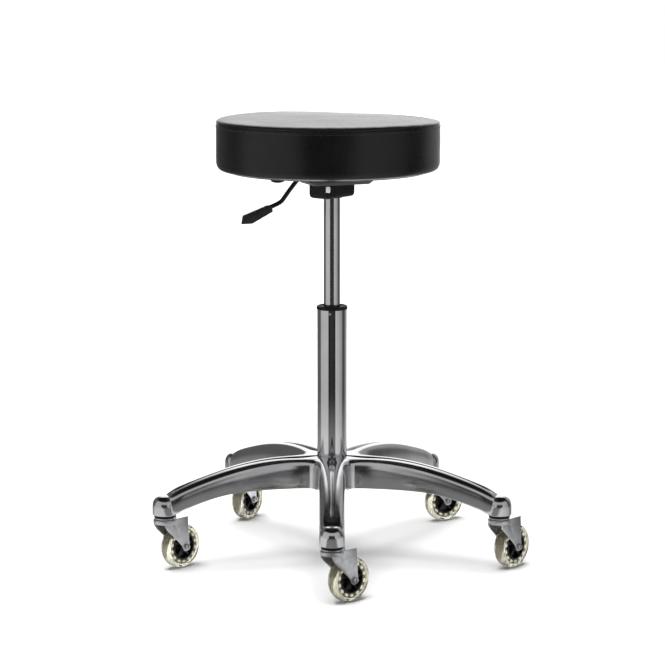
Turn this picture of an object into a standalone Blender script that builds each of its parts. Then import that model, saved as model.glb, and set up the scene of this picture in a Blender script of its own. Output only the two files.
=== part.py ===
"""A dentist stool: round padded seat, gas lift column, five-arm cast base and five swivel casters.

Metres, +Z up. The origin is the point on the floor under the column's axis. The first arm points
along -Y, and the seat is stored at the top of its lift.
"""

from math import atan2, cos, pi, radians, sin, tau

import bmesh
import bpy
from mathutils import Matrix, Vector

GAP = 0.0003                     # between pieces that touch

# Casters
WHEEL_RADIUS = 0.0375
WHEEL_HALF_WIDTH = 0.012
WHEEL_SEGMENTS = 24
AXLE_HEIGHT = WHEEL_RADIUS * cos(pi / WHEEL_SEGMENTS)   # a flat of the faceted tyre meets the floor
TRAIL = 0.0342
STEM_CIRCLE_RADIUS = 0.2925
FORK_HEAD_TOP = 0.0897
FORK_HEAD_RADIUS = 0.019
FORK_WALL = 0.0022
LEG_INNER_FACE = 0.0134
LEG_END_RADIUS = 0.0075
CORNERS = {                      # arm direction and trail direction of each caster, degrees
    "front": (-90, 40.1),
    "right": (-18, 47.7),
    "back_right": (54, 30.3),
    "back_left": (126, 57.5),
    "left": (198, 46.0),
}

# Base casting
SOCKET_FACE = 0.0966
SOCKET_RADIUS = 0.0203
STEM_RADIUS = 0.0055
HUB_RADIUS = 0.043
HUB_BOTTOM = 0.1286
HUB_TOP = 0.1784
CASTING_WALL = 0.004

# Column
TUBE_RADIUS = 0.025
TUBE_BORE = 0.023
TUBE_BOTTOM = 0.131
TUBE_TOP = 0.4305
COLLAR_TOP = 0.4369
CYLINDER_RADIUS = 0.014
CYLINDER_TOP = 0.640
CYLINDER_BOTTOM = 0.316
ROD_RADIUS = 0.005
BUMPER_TOP = 0.150

# Seat mechanism
HOUSING_BOTTOM = 0.616
HOUSING_TOP = 0.6409
HOUSING_SIZE = (0.075, 0.042)
HOUSING_TURN = radians(51)
PAN_BOTTOM = 0.6412
PAN_TURN = radians(21)
FLANGE_TOP = 0.6595
FLANGE_SIDE = 0.150
PIVOT = Vector((-0.020, 0, 0.649))
LEVER_RADIUS = 0.00375
BOLT_OFFSET = 0.0625

# Seat
SEAT_OFFSET = -0.0066            # the cushion's centre along X, from the column's axis
SEAT_RADIUS = 0.1858
SEAT_TOP = 0.7478
BOARD_BOTTOM = 0.6610
BOARD_TOP = 0.6730
BOARD_RADIUS = 0.166
SEAT_SEGMENTS = 32


def clear_scene():
    for old in list(bpy.data.objects):
        bpy.data.objects.remove(old, do_unlink=True)


def finish(name, colour, roughness, metallic=0.0):
    """A plain Principled material."""
    material = bpy.data.materials.new(name)
    material.use_nodes = True
    shader = material.node_tree.nodes["Principled BSDF"]
    shader.inputs["Base Color"].default_value = (*colour, 1)
    shader.inputs["Roughness"].default_value = roughness
    shader.inputs["Metallic"].default_value = metallic
    return material


def finishes():
    return {
        "cast_aluminium": finish("cast_aluminium", (0.62, 0.62, 0.63), 0.18, 1.0),
        "chrome": finish("chrome", (0.72, 0.72, 0.73), 0.12, 1.0),
        "zinc": finish("zinc", (0.55, 0.55, 0.56), 0.38, 1.0),
        "steel": finish("steel", (0.5, 0.5, 0.51), 0.35, 1.0),
        "black_plastic": finish("black_plastic", (0.012, 0.012, 0.013), 0.45),
        "black_steel": finish("black_steel", (0.01, 0.01, 0.01), 0.4),
        "grey_steel": finish("grey_steel", (0.05, 0.05, 0.052), 0.45),
        "clear_tyre": finish("clear_tyre", (0.68, 0.66, 0.5), 0.2),
        "rubber": finish("rubber", (0.02, 0.02, 0.02), 0.8),
        "nylon": finish("nylon", (0.7, 0.69, 0.64), 0.5),
        "leatherette": finish("leatherette", (0.014, 0.014, 0.015), 0.4),
        "foam": finish("foam", (0.75, 0.68, 0.42), 0.95),
        "plywood": finish("plywood", (0.52, 0.36, 0.2), 0.7),
        "black_fabric": finish("black_fabric", (0.015, 0.015, 0.015), 0.95),
    }


def smooth(mesh):
    mesh.shade_smooth()
    mesh.set_sharp_from_angle(angle=radians(35))
    return mesh


def to_mesh(bm, name):
    bmesh.ops.remove_doubles(bm, verts=bm.verts, dist=1e-6)
    bmesh.ops.recalc_face_normals(bm, faces=bm.faces)
    mesh = bpy.data.meshes.new(name)
    bm.to_mesh(mesh)
    bm.free()
    return smooth(mesh)


def spun(name, profile, segments=24, turn=0.0):
    """A profile of (radius, height) points turned round Z. It ends on the axis or closes on itself."""
    bm = bmesh.new()
    start = Matrix.Rotation(turn, 3, "Z")
    points = [bm.verts.new(start @ Vector((radius, 0, height))) for radius, height in profile]
    lines = [bm.edges.new(pair) for pair in zip(points, points[1:])]
    if profile[0][0] > 0:
        lines.append(bm.edges.new((points[-1], points[0])))
    bmesh.ops.spin(
        bm, geom=points + lines, cent=(0, 0, 0), axis=(0, 0, 1), angle=tau, steps=segments, use_merge=True
    )
    return to_mesh(bm, name)


def loft(name, sections):
    """Skins a row of closed sections with the same number of points, and caps both ends."""
    bm = bmesh.new()
    rings = [[bm.verts.new(point) for point in section] for section in sections]
    for ring, following in zip(rings, rings[1:]):
        for i in range(len(ring)):
            j = (i + 1) % len(ring)
            bm.faces.new((ring[i], ring[j], following[j], following[i]))
    bm.faces.new(rings[0])
    bm.faces.new(rings[-1])
    return to_mesh(bm, name)


def rounded_rectangle(length, width, radius, height, turn=0.0, steps=3):
    """Points round a rectangle with arcs for corners, centred on the column's axis."""
    middle_x = length / 2 - radius
    middle_y = width / 2 - radius
    spin = Matrix.Rotation(turn, 3, "Z")
    points = []
    for corner, (side_x, side_y) in enumerate(((1, 1), (-1, 1), (-1, -1), (1, -1))):
        for step in range(steps + 1):
            angle = (corner + step / steps) * pi / 2
            points.append(spin @ Vector((
                side_x * middle_x + radius * cos(angle), side_y * middle_y + radius * sin(angle), height
            )))
    return points


def place(name, mesh, material=None, at=(0, 0, 0), turn=0.0, parent=None):
    """A named object; without a material it is a cutter or a guide, which the model leaves out."""
    piece = bpy.data.objects.new(name, mesh)
    bpy.context.scene.collection.objects.link(piece)
    piece.location = at
    piece.rotation_euler = (0, 0, turn)
    piece.parent = parent
    if material:
        mesh.materials.clear()
        mesh.materials.append(material)
    else:
        piece.hide_render = True
        piece.display_type = "WIRE"
    return piece


def shape_with(piece, helper, operation):
    """Cuts the helper from the piece, or joins it on, with a Boolean that stays on the piece."""
    boolean = piece.modifiers.new(helper.name, "BOOLEAN")
    boolean.operation = operation
    boolean.solver = "EXACT"
    boolean.object = helper


def baked(piece):
    """The piece's mesh with its modifiers applied, for copies to share."""
    bpy.context.view_layer.update()
    graph = bpy.context.evaluated_depsgraph_get()
    mesh = bpy.data.meshes.new_from_object(piece.evaluated_get(graph))
    return smooth(mesh)


def joined(name, meshes):
    """One mesh that holds separate bodies, used as a cutter."""
    bm = bmesh.new()
    for mesh, matrix in meshes:
        copy = mesh.copy()
        copy.transform(matrix)
        bm.from_mesh(copy)
        bpy.data.meshes.remove(copy)
    return to_mesh(bm, name)


# ---------------------------------------------------------------- base casting

def arm_stations():
    """Distance from the axis, top height, bottom height and half width along an arm."""
    return (
        (0.0345, 0.1776, 0.1290, 0.0240),
        (0.060, 0.1780, 0.1290, 0.0240),
        (0.090, 0.1790, 0.1297, 0.0235),
        (0.133, 0.1757, 0.1300, 0.0225),
        (0.177, 0.1682, 0.1285, 0.0215),
        (0.220, 0.1575, 0.1190, 0.0208),
        (0.256, 0.1475, 0.1090, 0.0202),
        (0.288, 0.1308, 0.1000, 0.0186),
    )


def arm_section(distance, top, bottom, half_width):
    """A crowned section with a fine ridge along its middle and rounded shoulders."""
    half = (
        (half_width * 0.93, bottom),
        (half_width, bottom + 0.35 * (top - bottom)),
        (half_width, top - 0.013),
        (half_width * 0.84, top - 0.0055),
        (half_width * 0.42, top - 0.0022),
    )
    outline = [*half, (0, top), *((-y, z) for y, z in reversed(half))]
    return [Vector((distance, y, z)) for y, z in outline]


def channel_section(distance, top, bottom, half_width):
    """The hollow under the arm, inside the casting's wall."""
    inner = half_width - CASTING_WALL
    roof = top - 0.0095
    half = ((inner, bottom - 0.010), (inner, roof - 0.006), (inner * 0.6, roof))
    outline = [*half, *((-y, z) for y, z in reversed(half))]
    return [Vector((distance, y, z)) for y, z in outline]


def build_base(look, root):
    hub = spun("hub_blank", [
        (0, HUB_TOP), (0.036, HUB_TOP), (HUB_RADIUS, HUB_TOP - 0.004), (HUB_RADIUS, HUB_BOTTOM), (0, HUB_BOTTOM),
    ], 24)
    casting = place("star_base", hub, look["cast_aluminium"], parent=root)
    arm = loft("arm_blank", [arm_section(*station) for station in arm_stations()])
    boss = spun("socket_blank", [
        (0, 0.1312), (0.0100, 0.1295), (0.0168, 0.1242), (SOCKET_RADIUS, 0.1150),
        (SOCKET_RADIUS, SOCKET_FACE), (0, SOCKET_FACE),
    ], 16)
    channel = loft("channel_blank", [channel_section(*station) for station in arm_stations()[1:-1]])
    socket_hole = spun("socket_hole_blank", [
        (0, 0.1250), (STEM_RADIUS + GAP, 0.1240), (STEM_RADIUS + GAP, SOCKET_FACE - 0.01), (0, SOCKET_FACE - 0.01),
    ], 12)
    bore_radius = TUBE_RADIUS + GAP
    bore = spun("bore_blank", [
        (0, HUB_TOP + 0.01), (bore_radius, HUB_TOP + 0.01), (bore_radius, HUB_BOTTOM - 0.01), (0, HUB_BOTTOM - 0.01),
    ], 24)
    hollows = [(bore, Matrix())]
    for corner, (direction, _) in CORNERS.items():
        turn = Matrix.Rotation(radians(direction), 4, "Z")
        out = turn @ Matrix.Translation((STEM_CIRCLE_RADIUS, 0, 0))
        shape_with(casting, place(f"arm_{corner}", arm, turn=radians(direction)), "UNION")
        shape_with(casting, place(f"socket_{corner}", boss, at=out.translation, turn=radians(direction)), "UNION")
        hollows += [(channel, turn), (socket_hole, out)]
    shape_with(casting, place("base_hollows", joined("base_hollows", hollows)), "DIFFERENCE")


# ---------------------------------------------------------------- casters

def stem_mesh():
    """Grip stem, upper race, neck through the fork's head and the riveted end, all one steel piece."""
    race_bottom = FORK_HEAD_TOP + GAP
    race_top = race_bottom + 0.0030
    rivet_top = FORK_HEAD_TOP - FORK_WALL - GAP
    return spun("caster_stem", [
        (0, 0.1225), (0.0042, 0.1225), (STEM_RADIUS, 0.1205), (STEM_RADIUS, race_top),
        (0.0165, race_top), (0.0172, race_bottom), (0.0050, race_bottom),
        (0.0050, rivet_top), (0.0085, rivet_top), (0.0070, rivet_top - 0.0030), (0, rivet_top - 0.0030),
    ], 12)


def dust_ring_mesh():
    top = SOCKET_FACE - GAP
    bottom = FORK_HEAD_TOP + 2 * GAP + 0.0030
    return spun("caster_dust_ring", [
        (0.0178, top), (0.0178, bottom), (STEM_RADIUS + GAP, bottom), (STEM_RADIUS + GAP, top),
    ], 16)


def leg_outline():
    """Points (along the trail, height) of a fork leg, with a round end at the axle."""
    points = [(TRAIL + LEG_END_RADIUS, FORK_HEAD_TOP - 0.0004), (-0.012, FORK_HEAD_TOP - 0.0004), (-0.012, 0.080)]
    first = radians(221)
    for step in range(6):
        angle = first + step / 5 * (tau - first)
        points.append((TRAIL + LEG_END_RADIUS * cos(angle), AXLE_HEIGHT + LEG_END_RADIUS * sin(angle)))
    return points


def fork_mesh():
    """Pressed fork: a round raceway cup with two tapered legs that trail behind it."""
    skirt = FORK_HEAD_TOP - 0.0097
    roof = FORK_HEAD_TOP - FORK_WALL
    cup = place("fork_cup", spun("fork_cup", [
        (0.0174, FORK_HEAD_TOP), (FORK_HEAD_RADIUS, FORK_HEAD_TOP - 0.0018), (FORK_HEAD_RADIUS, skirt),
        (FORK_HEAD_RADIUS - FORK_WALL, skirt), (FORK_HEAD_RADIUS - FORK_WALL, roof),
        (STEM_RADIUS, roof), (STEM_RADIUS, FORK_HEAD_TOP),
    ], 16))
    helpers = [cup]
    for side in (-1, 1):
        faces = (side * LEG_INNER_FACE, side * (LEG_INNER_FACE + FORK_WALL))
        leg = loft("leg", [[Vector((along, y, z)) for along, z in leg_outline()] for y in faces])
        helpers.append(place(f"fork_leg_{side}", leg))
        shape_with(cup, helpers[-1], "UNION")
    hole = spun("axle_hole", [(0, 0.03), (0.0035, 0.03), (0.0035, -0.03), (0, -0.03)], 12)
    hole.transform(Matrix.Translation((TRAIL, 0, AXLE_HEIGHT)) @ Matrix.Rotation(pi / 2, 4, "X"))
    helpers.append(place("axle_hole", hole))
    shape_with(cup, helpers[-1], "DIFFERENCE")
    mesh = baked(cup)
    for helper in helpers:
        bpy.data.objects.remove(helper, do_unlink=True)
    return mesh


def on_axle(mesh):
    """Turns a lathe-made piece so that its axis lies along the wheel's axle, at the caster's trail."""
    mesh.transform(Matrix.Rotation(pi / 2, 4, "X"))
    return smooth(mesh)


def axle_mesh():
    face = LEG_INNER_FACE + FORK_WALL + GAP
    end = face + 0.0038
    return on_axle(spun("caster_axle", [
        (0, end), (0.0045, end), (0.0058, face + 0.0015), (0.0058, face), (0.0032, face),
        (0.0032, -face), (0.0058, -face), (0.0058, -face - 0.0015), (0.0045, -end), (0, -end),
    ], 12))


def hub_mesh():
    return on_axle(spun("caster_hub", [
        (0.0262, 0.0095), (0.0262, -0.0095), (0.0222, -0.0035), (0.0092, -0.0035), (0.0085, -0.0125),
        (0.0036, -0.0125), (0.0036, 0.0125), (0.0085, 0.0125), (0.0092, 0.0035), (0.0222, 0.0035),
    ], 12, turn=pi / 12))


def tyre_mesh():
    inner = 0.0262 + GAP
    return on_axle(spun("caster_tyre", [
        (WHEEL_RADIUS, 0.0060), (WHEEL_RADIUS, -0.0060), (0.0340, -WHEEL_HALF_WIDTH), (inner, -0.0100),
        (inner, 0.0100), (0.0340, WHEEL_HALF_WIDTH),
    ], WHEEL_SEGMENTS, turn=pi / WHEEL_SEGMENTS))


def build_casters(look, root):
    stem = stem_mesh()
    ring = dust_ring_mesh()
    fork = fork_mesh()
    axle = axle_mesh()
    hub = hub_mesh()
    tyre = tyre_mesh()
    for corner, (direction, trail) in CORNERS.items():
        out = radians(direction)
        foot = Vector((STEM_CIRCLE_RADIUS * cos(out), STEM_CIRCLE_RADIUS * sin(out), 0))
        place(f"caster_stem_{corner}", stem, look["steel"], foot, parent=root)
        place(f"caster_dust_ring_{corner}", ring, look["black_plastic"], foot, parent=root)
        swivel = bpy.data.objects.new(f"swivel_{corner}", None)
        bpy.context.scene.collection.objects.link(swivel)
        swivel.location = foot
        swivel.rotation_euler = (0, 0, radians(trail))
        swivel.parent = root
        wheel_centre = (TRAIL, 0, AXLE_HEIGHT)
        place(f"caster_fork_{corner}", fork, look["zinc"], parent=swivel)
        place(f"caster_axle_{corner}", axle, look["steel"], wheel_centre, parent=swivel)
        place(f"caster_hub_{corner}", hub, look["black_plastic"], wheel_centre, parent=swivel)
        place(f"caster_tyre_{corner}", tyre, look["clear_tyre"], wheel_centre, parent=swivel)


# ---------------------------------------------------------------- column

def ring_profile(inner, outer, bottom, top):
    return [(outer, top), (outer, bottom), (inner, bottom), (inner, top)]


def build_column(look, root):
    plate_top = TUBE_BOTTOM + 0.003
    neck = 0.0038
    place("stand_tube", spun("stand_tube", [
        (TUBE_RADIUS, TUBE_TOP), (TUBE_RADIUS, TUBE_BOTTOM), (neck + GAP, TUBE_BOTTOM), (neck + GAP, plate_top),
        (TUBE_BORE, plate_top), (TUBE_BORE, TUBE_TOP),
    ], 24), look["chrome"], parent=root)
    running_bore = CYLINDER_RADIUS + GAP
    place("tube_collar", spun("tube_collar", [
        (0.0258, COLLAR_TOP), (0.0271, COLLAR_TOP - 0.0015), (0.0271, TUBE_TOP + GAP), (running_bore, TUBE_TOP + GAP),
        (running_bore, COLLAR_TOP),
    ], 24), look["black_plastic"], parent=root)
    place("guide_bush", spun("guide_bush", ring_profile(running_bore, TUBE_BORE - GAP, 0.360, TUBE_TOP), 24),
          look["nylon"], parent=root)
    cage_top = plate_top + 0.0040
    place("thrust_ball_cage", spun("thrust_ball_cage", ring_profile(0.0058, 0.0110, plate_top + GAP, cage_top), 16),
          look["nylon"], parent=root)
    washer_top = cage_top + 0.0023
    place("thrust_washer", spun("thrust_washer", ring_profile(neck + GAP, 0.0115, cage_top + GAP, washer_top), 16),
          look["steel"], parent=root)
    shoulder = washer_top + GAP
    place("rubber_bumper", spun("rubber_bumper", ring_profile(ROD_RADIUS + GAP, 0.0125, shoulder, BUMPER_TOP), 16),
          look["rubber"], parent=root)
    clip_top = TUBE_BOTTOM - GAP
    place("retaining_clip", spun("retaining_clip", ring_profile(neck - 0.0005, 0.0085, clip_top - 0.0015, clip_top),
                                 16), look["steel"], parent=root)
    piston_bottom = CYLINDER_BOTTOM + 0.0185
    piston_top = piston_bottom + 0.012
    place("piston_rod", spun("piston_rod", [
        (0, piston_top + 0.003), (ROD_RADIUS, piston_top + 0.003), (ROD_RADIUS, piston_top + GAP),
        (0.0035, piston_top + GAP), (0.0035, piston_bottom - GAP), (ROD_RADIUS, piston_bottom - GAP),
        (ROD_RADIUS, shoulder), (neck, shoulder), (neck, clip_top + GAP / 2), (neck - 0.0008, clip_top + GAP / 2),
        (neck - 0.0008, clip_top - 0.0018), (neck, clip_top - 0.0018), (neck, clip_top - 0.0040),
        (0, clip_top - 0.0040),
    ], 12), look["chrome"], parent=root)
    bore = CYLINDER_RADIUS - 0.0019
    place("piston", spun("piston", ring_profile(0.0035 + GAP, bore - GAP, piston_bottom, piston_top), 20),
          look["nylon"], parent=root)
    place("gas_cylinder", spun("gas_cylinder", [
        (0, 0.6255), (0.0045, 0.6255), (0.0045, CYLINDER_TOP), (0.0128, CYLINDER_TOP), (0.0135, CYLINDER_TOP - 0.002),
        (CYLINDER_RADIUS, 0.605), (CYLINDER_RADIUS, CYLINDER_BOTTOM), (bore, CYLINDER_BOTTOM), (bore, 0.585),
        (0, 0.585),
    ], 24), look["chrome"], parent=root)
    place("cylinder_end_cap", spun("cylinder_end_cap", ring_profile(
        ROD_RADIUS + GAP, bore - GAP, CYLINDER_BOTTOM, CYLINDER_BOTTOM + 0.0130), 20), look["nylon"], parent=root)


# ---------------------------------------------------------------- seat mechanism

def build_housing(look, root):
    length, width = HOUSING_SIZE
    outline = [(0.008, HOUSING_BOTTOM), (0.002, HOUSING_BOTTOM + 0.0015), (0.0, HOUSING_BOTTOM + 0.0050),
               (0.0, HOUSING_TOP)]
    shell = place("mechanism_housing", loft("mechanism_housing", [
        rounded_rectangle(length - 2 * inset, width - 2 * inset, 0.005, height, HOUSING_TURN)
        for inset, height in outline
    ]), look["black_plastic"], parent=root)
    wall = 0.0025
    room = place("housing_room", loft("housing_room", [
        rounded_rectangle(length - 2 * wall, width - 2 * wall, 0.003, height, HOUSING_TURN)
        for height in (HOUSING_BOTTOM + 0.0040, HOUSING_TOP + 0.01)
    ]))
    shape_with(shell, room, "DIFFERENCE")
    passage = spun("housing_passage", [(0, 0.63), (0.0150, 0.63), (0.0150, 0.60), (0, 0.60)], 24)
    shape_with(shell, place("housing_passage", passage), "DIFFERENCE")
    # The slot in the corner nearest the front shows the bright socket inside.
    slot = loft("housing_slot", [
        [Vector((x, y, z)) for x, z in ((-0.0105, 0.627), (-0.0025, 0.627), (-0.0025, 0.638), (-0.0105, 0.638))]
        for y in (-0.060, -0.020)
    ])
    shape_with(shell, place("housing_slot", slot), "DIFFERENCE")
    place("taper_socket", spun("taper_socket", [
        (0.0178, HOUSING_TOP), (0.0178, 0.6203), (0.0145, 0.6203), (0.0141, HOUSING_TOP),
    ], 24), look["steel"], parent=root)


def build_plate(look, root):
    """A pressed pan with sloping edges, the flange that is bolted to the board, and the pivot's ears."""
    sheet = 0.002
    flange_bottom = FLANGE_TOP - sheet
    pan = place("mounting_plate", loft("mounting_plate", [
        rounded_rectangle(side, side, radius, height, PAN_TURN)
        for side, radius, height in (
            (0.100, 0.008, PAN_BOTTOM), (0.111, 0.010, PAN_BOTTOM + 0.0055), (0.112, 0.010, flange_bottom),
            (FLANGE_SIDE, 0.014, flange_bottom), (FLANGE_SIDE, 0.014, FLANGE_TOP),
        )
    ]), look["grey_steel"], parent=root)
    room = place("pan_room", loft("pan_room", [
        rounded_rectangle(side, side, radius, height, PAN_TURN)
        for side, radius, height in (
            (0.096, 0.006, PAN_BOTTOM + sheet), (0.107, 0.008, PAN_BOTTOM + 0.0060), (0.107, 0.008, FLANGE_TOP + 0.01),
        )
    ]))
    shape_with(pan, room, "DIFFERENCE")
    for side in (-1, 1):
        faces = (side * 0.0065, side * 0.0085)
        outline = ((PIVOT.x - 0.006, PAN_BOTTOM + 0.001), (PIVOT.x + 0.006, PAN_BOTTOM + 0.001),
                   (PIVOT.x + 0.006, PIVOT.z + 0.004), (PIVOT.x - 0.006, PIVOT.z + 0.004))
        ear = loft("pivot_ear", [[Vector((x, y, z)) for x, z in outline] for y in faces])
        shape_with(pan, place(f"pivot_ear_{side}", ear), "UNION")
    # The cam's nose dips through this window to press the button.
    nose_window = loft("nose_window", [
        [Vector((x, y, z)) for x, y in ((-0.0125, -0.007), (0.010, -0.007), (0.010, 0.007), (-0.0125, 0.007))]
        for z in (0.636, 0.646)
    ])
    pin_hole = spun("pin_hole", [(0, 0.015), (0.0028, 0.015), (0.0028, -0.015), (0, -0.015)], 12)
    lever_slot = loft("lever_slot", [
        [Vector((x, y, z)) for y, z in ((-0.0065, 0.6395), (0.0065, 0.6395), (0.0065, 0.6556), (-0.0065, 0.6556))]
        for x in (-0.078, -0.0495)
    ])
    across = Matrix.Translation(PIVOT) @ Matrix.Rotation(pi / 2, 4, "X")
    cuts = [(nose_window, Matrix()), (pin_hole, across), (lever_slot, Matrix())]
    cuts += [(bolt_hole(), place_at) for place_at in bolt_places()]
    shape_with(pan, place("plate_cuts", joined("plate_cuts", cuts)), "DIFFERENCE")


def bolt_places():
    turn = Matrix.Rotation(PAN_TURN, 4, "Z")
    return [
        turn @ Matrix.Translation((x * BOLT_OFFSET, y * BOLT_OFFSET, 0))
        for x, y in ((-1, -1), (1, -1), (1, 1), (-1, 1))
    ]


def bolt_hole():
    return spun("bolt_hole", [(0, 0.6715), (0.0034, 0.6715), (0.0034, 0.640), (0, 0.640)], 10)


def build_bolts(look, root):
    head_top = FLANGE_TOP - 0.002 - GAP
    bolt = spun("mounting_bolt", [
        (0, 0.6700), (0.0030, 0.6700), (0.0030, head_top), (0.0058, head_top), (0.0058, head_top - 0.0032),
        (0.0048, head_top - 0.0040), (0, head_top - 0.0040),
    ], 12)
    for number, matrix in enumerate(bolt_places(), 1):
        place(f"mounting_bolt_{number}", bolt, look["steel"], matrix.translation, parent=root)


def lever_route():
    """Centre points of the lever rod, from the block that holds it to the paddle."""
    return [
        Vector((PIVOT.x - 0.0105, 0, PIVOT.z)), Vector((-0.0500, 0, PIVOT.z)), Vector((-0.0560, 0, 0.6466)),
        Vector((-0.0825, 0, 0.6127)), Vector((-0.0855, 0, 0.6094)), Vector((-0.0890, 0, 0.6070)),
        Vector((-0.1090, 0, 0.5982)),
    ]


def build_lever(look, root):
    pull = bpy.data.objects.new("lever_axis", None)
    bpy.context.scene.collection.objects.link(pull)
    pull.location = PIVOT
    pull.parent = root
    centre = Matrix.Translation(-PIVOT)

    pin = spun("lever_pivot_pin", [
        (0, 0.0108), (0.0040, 0.0108), (0.0040, 0.0088), (0.0025, 0.0088), (0.0025, -0.0105), (0, -0.0105),
    ], 12)
    pin.transform(Matrix.Rotation(pi / 2, 4, "X"))
    place("lever_pivot_pin", smooth(pin), look["steel"], PIVOT, parent=root)

    block = ((-0.0310, 0.6450), (0.0060, 0.6438), (0.0060, 0.6500), (-0.0120, 0.6535), (-0.0310, 0.6535))
    cam = loft("lever_cam", [[Vector((x, y, z)) for x, z in block] for y in (-0.0058, 0.0058)])
    cam.transform(centre)
    cam_piece = place("lever_cam", cam, look["steel"], parent=pull)
    eye = spun("cam_eye", [(0, 0.02), (0.0028, 0.02), (0.0028, -0.02), (0, -0.02)], 12)
    eye.transform(Matrix.Translation(PIVOT) @ Matrix.Rotation(pi / 2, 4, "X"))
    grip = spun("cam_grip", [(0, 0.02), (LEVER_RADIUS + GAP, 0.02), (LEVER_RADIUS + GAP, 0), (0, 0)], 10)
    grip.transform(Matrix.Translation(lever_route()[0] + Vector((GAP, 0, 0))) @ Matrix.Rotation(-pi / 2, 4, "Y"))
    shape_with(cam_piece, place("cam_holes", joined("cam_holes", [(eye, Matrix()), (grip, Matrix())])), "DIFFERENCE")

    path = bpy.data.curves.new("lever_rod", "CURVE")
    path.dimensions = "3D"
    line = path.splines.new("POLY")
    line.points.add(len(lever_route()) - 1)
    for knot, point in zip(line.points, lever_route()):
        knot.co = (*(point - PIVOT), 1)
    path.bevel_depth = LEVER_RADIUS
    path.bevel_resolution = 2
    path.use_fill_caps = True
    path.materials.append(look["black_steel"])
    rod = bpy.data.objects.new("lever_rod", path)
    bpy.context.scene.collection.objects.link(rod)
    rod.parent = pull

    side_view = ((-0.1000, 0.6030), (-0.1105, 0.6015), (-0.1492, 0.5847), (-0.1516, 0.5745), (-0.1306, 0.5755),
                 (-0.1190, 0.5830), (-0.0985, 0.5930))
    half_width = 0.0090
    rim = 0.0018
    middle = sum((Vector((x, 0, z)) for x, z in side_view), Vector()) / len(side_view)
    sections = []
    for y, shrink in ((-half_width, rim), (-half_width + rim, 0), (half_width - rim, 0), (half_width, rim)):
        section = []
        for x, z in side_view:
            inward = (middle - Vector((x, 0, z))).normalized() * shrink
            section.append(Vector((x, y, z)) + inward)
        sections.append(section)
    paddle = loft("lever_paddle", sections)
    paddle.transform(centre)
    handle = place("lever_paddle", paddle, look["black_plastic"], parent=pull)
    end = lever_route()[-1] - lever_route()[-2]
    hole = spun("paddle_hole", [(0, 0.02), (LEVER_RADIUS + GAP, 0.02), (LEVER_RADIUS + GAP, 0), (0, 0)], 10)
    lean = atan2(-end.x, -end.z)
    hole.transform(
        Matrix.Translation(lever_route()[-1] + end.normalized() * GAP) @ Matrix.Rotation(lean, 4, "Y"))
    shape_with(handle, place("paddle_hole", hole), "DIFFERENCE")

    button = spun("release_button", [
        (0, 0.6432), (0.0035, 0.6432), (0.0040, 0.6424), (0.0040, 0.6290), (0, 0.6290),
    ], 12)
    place("release_button", button, look["steel"], parent=root)


# ---------------------------------------------------------------- seat

def build_seat(look, root):
    seat = bpy.data.objects.new("seat_centre", None)
    bpy.context.scene.collection.objects.link(seat)
    seat.location = (SEAT_OFFSET, 0, 0)
    seat.parent = root
    holes = joined("board_holes", [(bolt_hole(), place_at) for place_at in bolt_places()])
    cutter = place("board_holes", holes)

    board = place("seat_board", spun("seat_board", [
        (0, BOARD_TOP), (BOARD_RADIUS, BOARD_TOP), (BOARD_RADIUS, BOARD_BOTTOM), (0, BOARD_BOTTOM),
    ], SEAT_SEGMENTS), look["plywood"], parent=seat)
    shape_with(board, cutter, "DIFFERENCE")
    dust = place("dust_cover", spun("dust_cover", [
        (0, BOARD_BOTTOM - GAP), (0.149, BOARD_BOTTOM - GAP), (0.149, FLANGE_TOP + GAP), (0, FLANGE_TOP + GAP),
    ], SEAT_SEGMENTS), look["black_fabric"], parent=seat)
    shape_with(dust, cutter, "DIFFERENCE")

    side = SEAT_RADIUS
    lip = FLANGE_TOP
    place("seat_foam", spun("seat_foam", [
        (0, SEAT_TOP - 0.0018), (0.1699, SEAT_TOP - 0.0018), (0.1800, 0.7438), (0.1832, 0.7400), (side - 0.0019, 0.7350),
        (side - 0.0019, 0.6775), (0.1828, BOARD_TOP + GAP), (0, BOARD_TOP + GAP),
    ], SEAT_SEGMENTS), look["foam"], parent=seat)
    place("seat_cover_top", spun("seat_cover_top", [
        (0, SEAT_TOP), (0.1700, SEAT_TOP), (0.1800, 0.7462), (0.1843, 0.7430), (0.1851, 0.7406),
        (0.1836, 0.7406), (0.1806, 0.7442), (0.1700, SEAT_TOP - 0.0015), (0, SEAT_TOP - 0.0015),
    ], SEAT_SEGMENTS), look["leatherette"], parent=seat)
    place("seat_cover_band", spun("seat_cover_band", [
        (0.1852, 0.7402), (side, 0.7350), (side, 0.6765), (0.1832, 0.6668), (0.1760, 0.6612),
        (BOARD_RADIUS, lip), (0.1505, lip), (0.1505, lip + 0.0012), (0.1664, lip + 0.0012), (0.1745, 0.6630),
        (0.1817, 0.6678), (side - 0.0015, 0.6765), (side - 0.0015, 0.7350), (0.1838, 0.7402),
    ], SEAT_SEGMENTS), look["leatherette"], parent=seat)
    cap_top = FLANGE_TOP - GAP
    place("underside_cap", spun("underside_cap", [
        (0, cap_top), (0.0140, cap_top), (0.0140, cap_top - 0.0030), (0.0105, cap_top - 0.0065),
        (0.0050, cap_top - 0.0080), (0, cap_top - 0.0082),
    ], 16), look["rubber"], (-0.088, -0.100, 0), parent=root)


def main():
    clear_scene()
    look = finishes()
    root = bpy.data.objects.new("dentist_stool", None)
    bpy.context.scene.collection.objects.link(root)
    build_base(look, root)
    build_casters(look, root)
    build_column(look, root)
    build_housing(look, root)
    build_plate(look, root)
    build_bolts(look, root)
    build_lever(look, root)
    build_seat(look, root)


main()
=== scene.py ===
"""A dentist stool: round padded seat, gas lift column, five-arm cast base and five swivel casters."""
import sys

import logging
from collections.abc import Sequence
from dataclasses import dataclass
from enum import Enum
from math import atan2, cos, exp, hypot, pi, radians, sin, tau

import bmesh
import bpy
from mathutils import Matrix, Vector, noise


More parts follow.
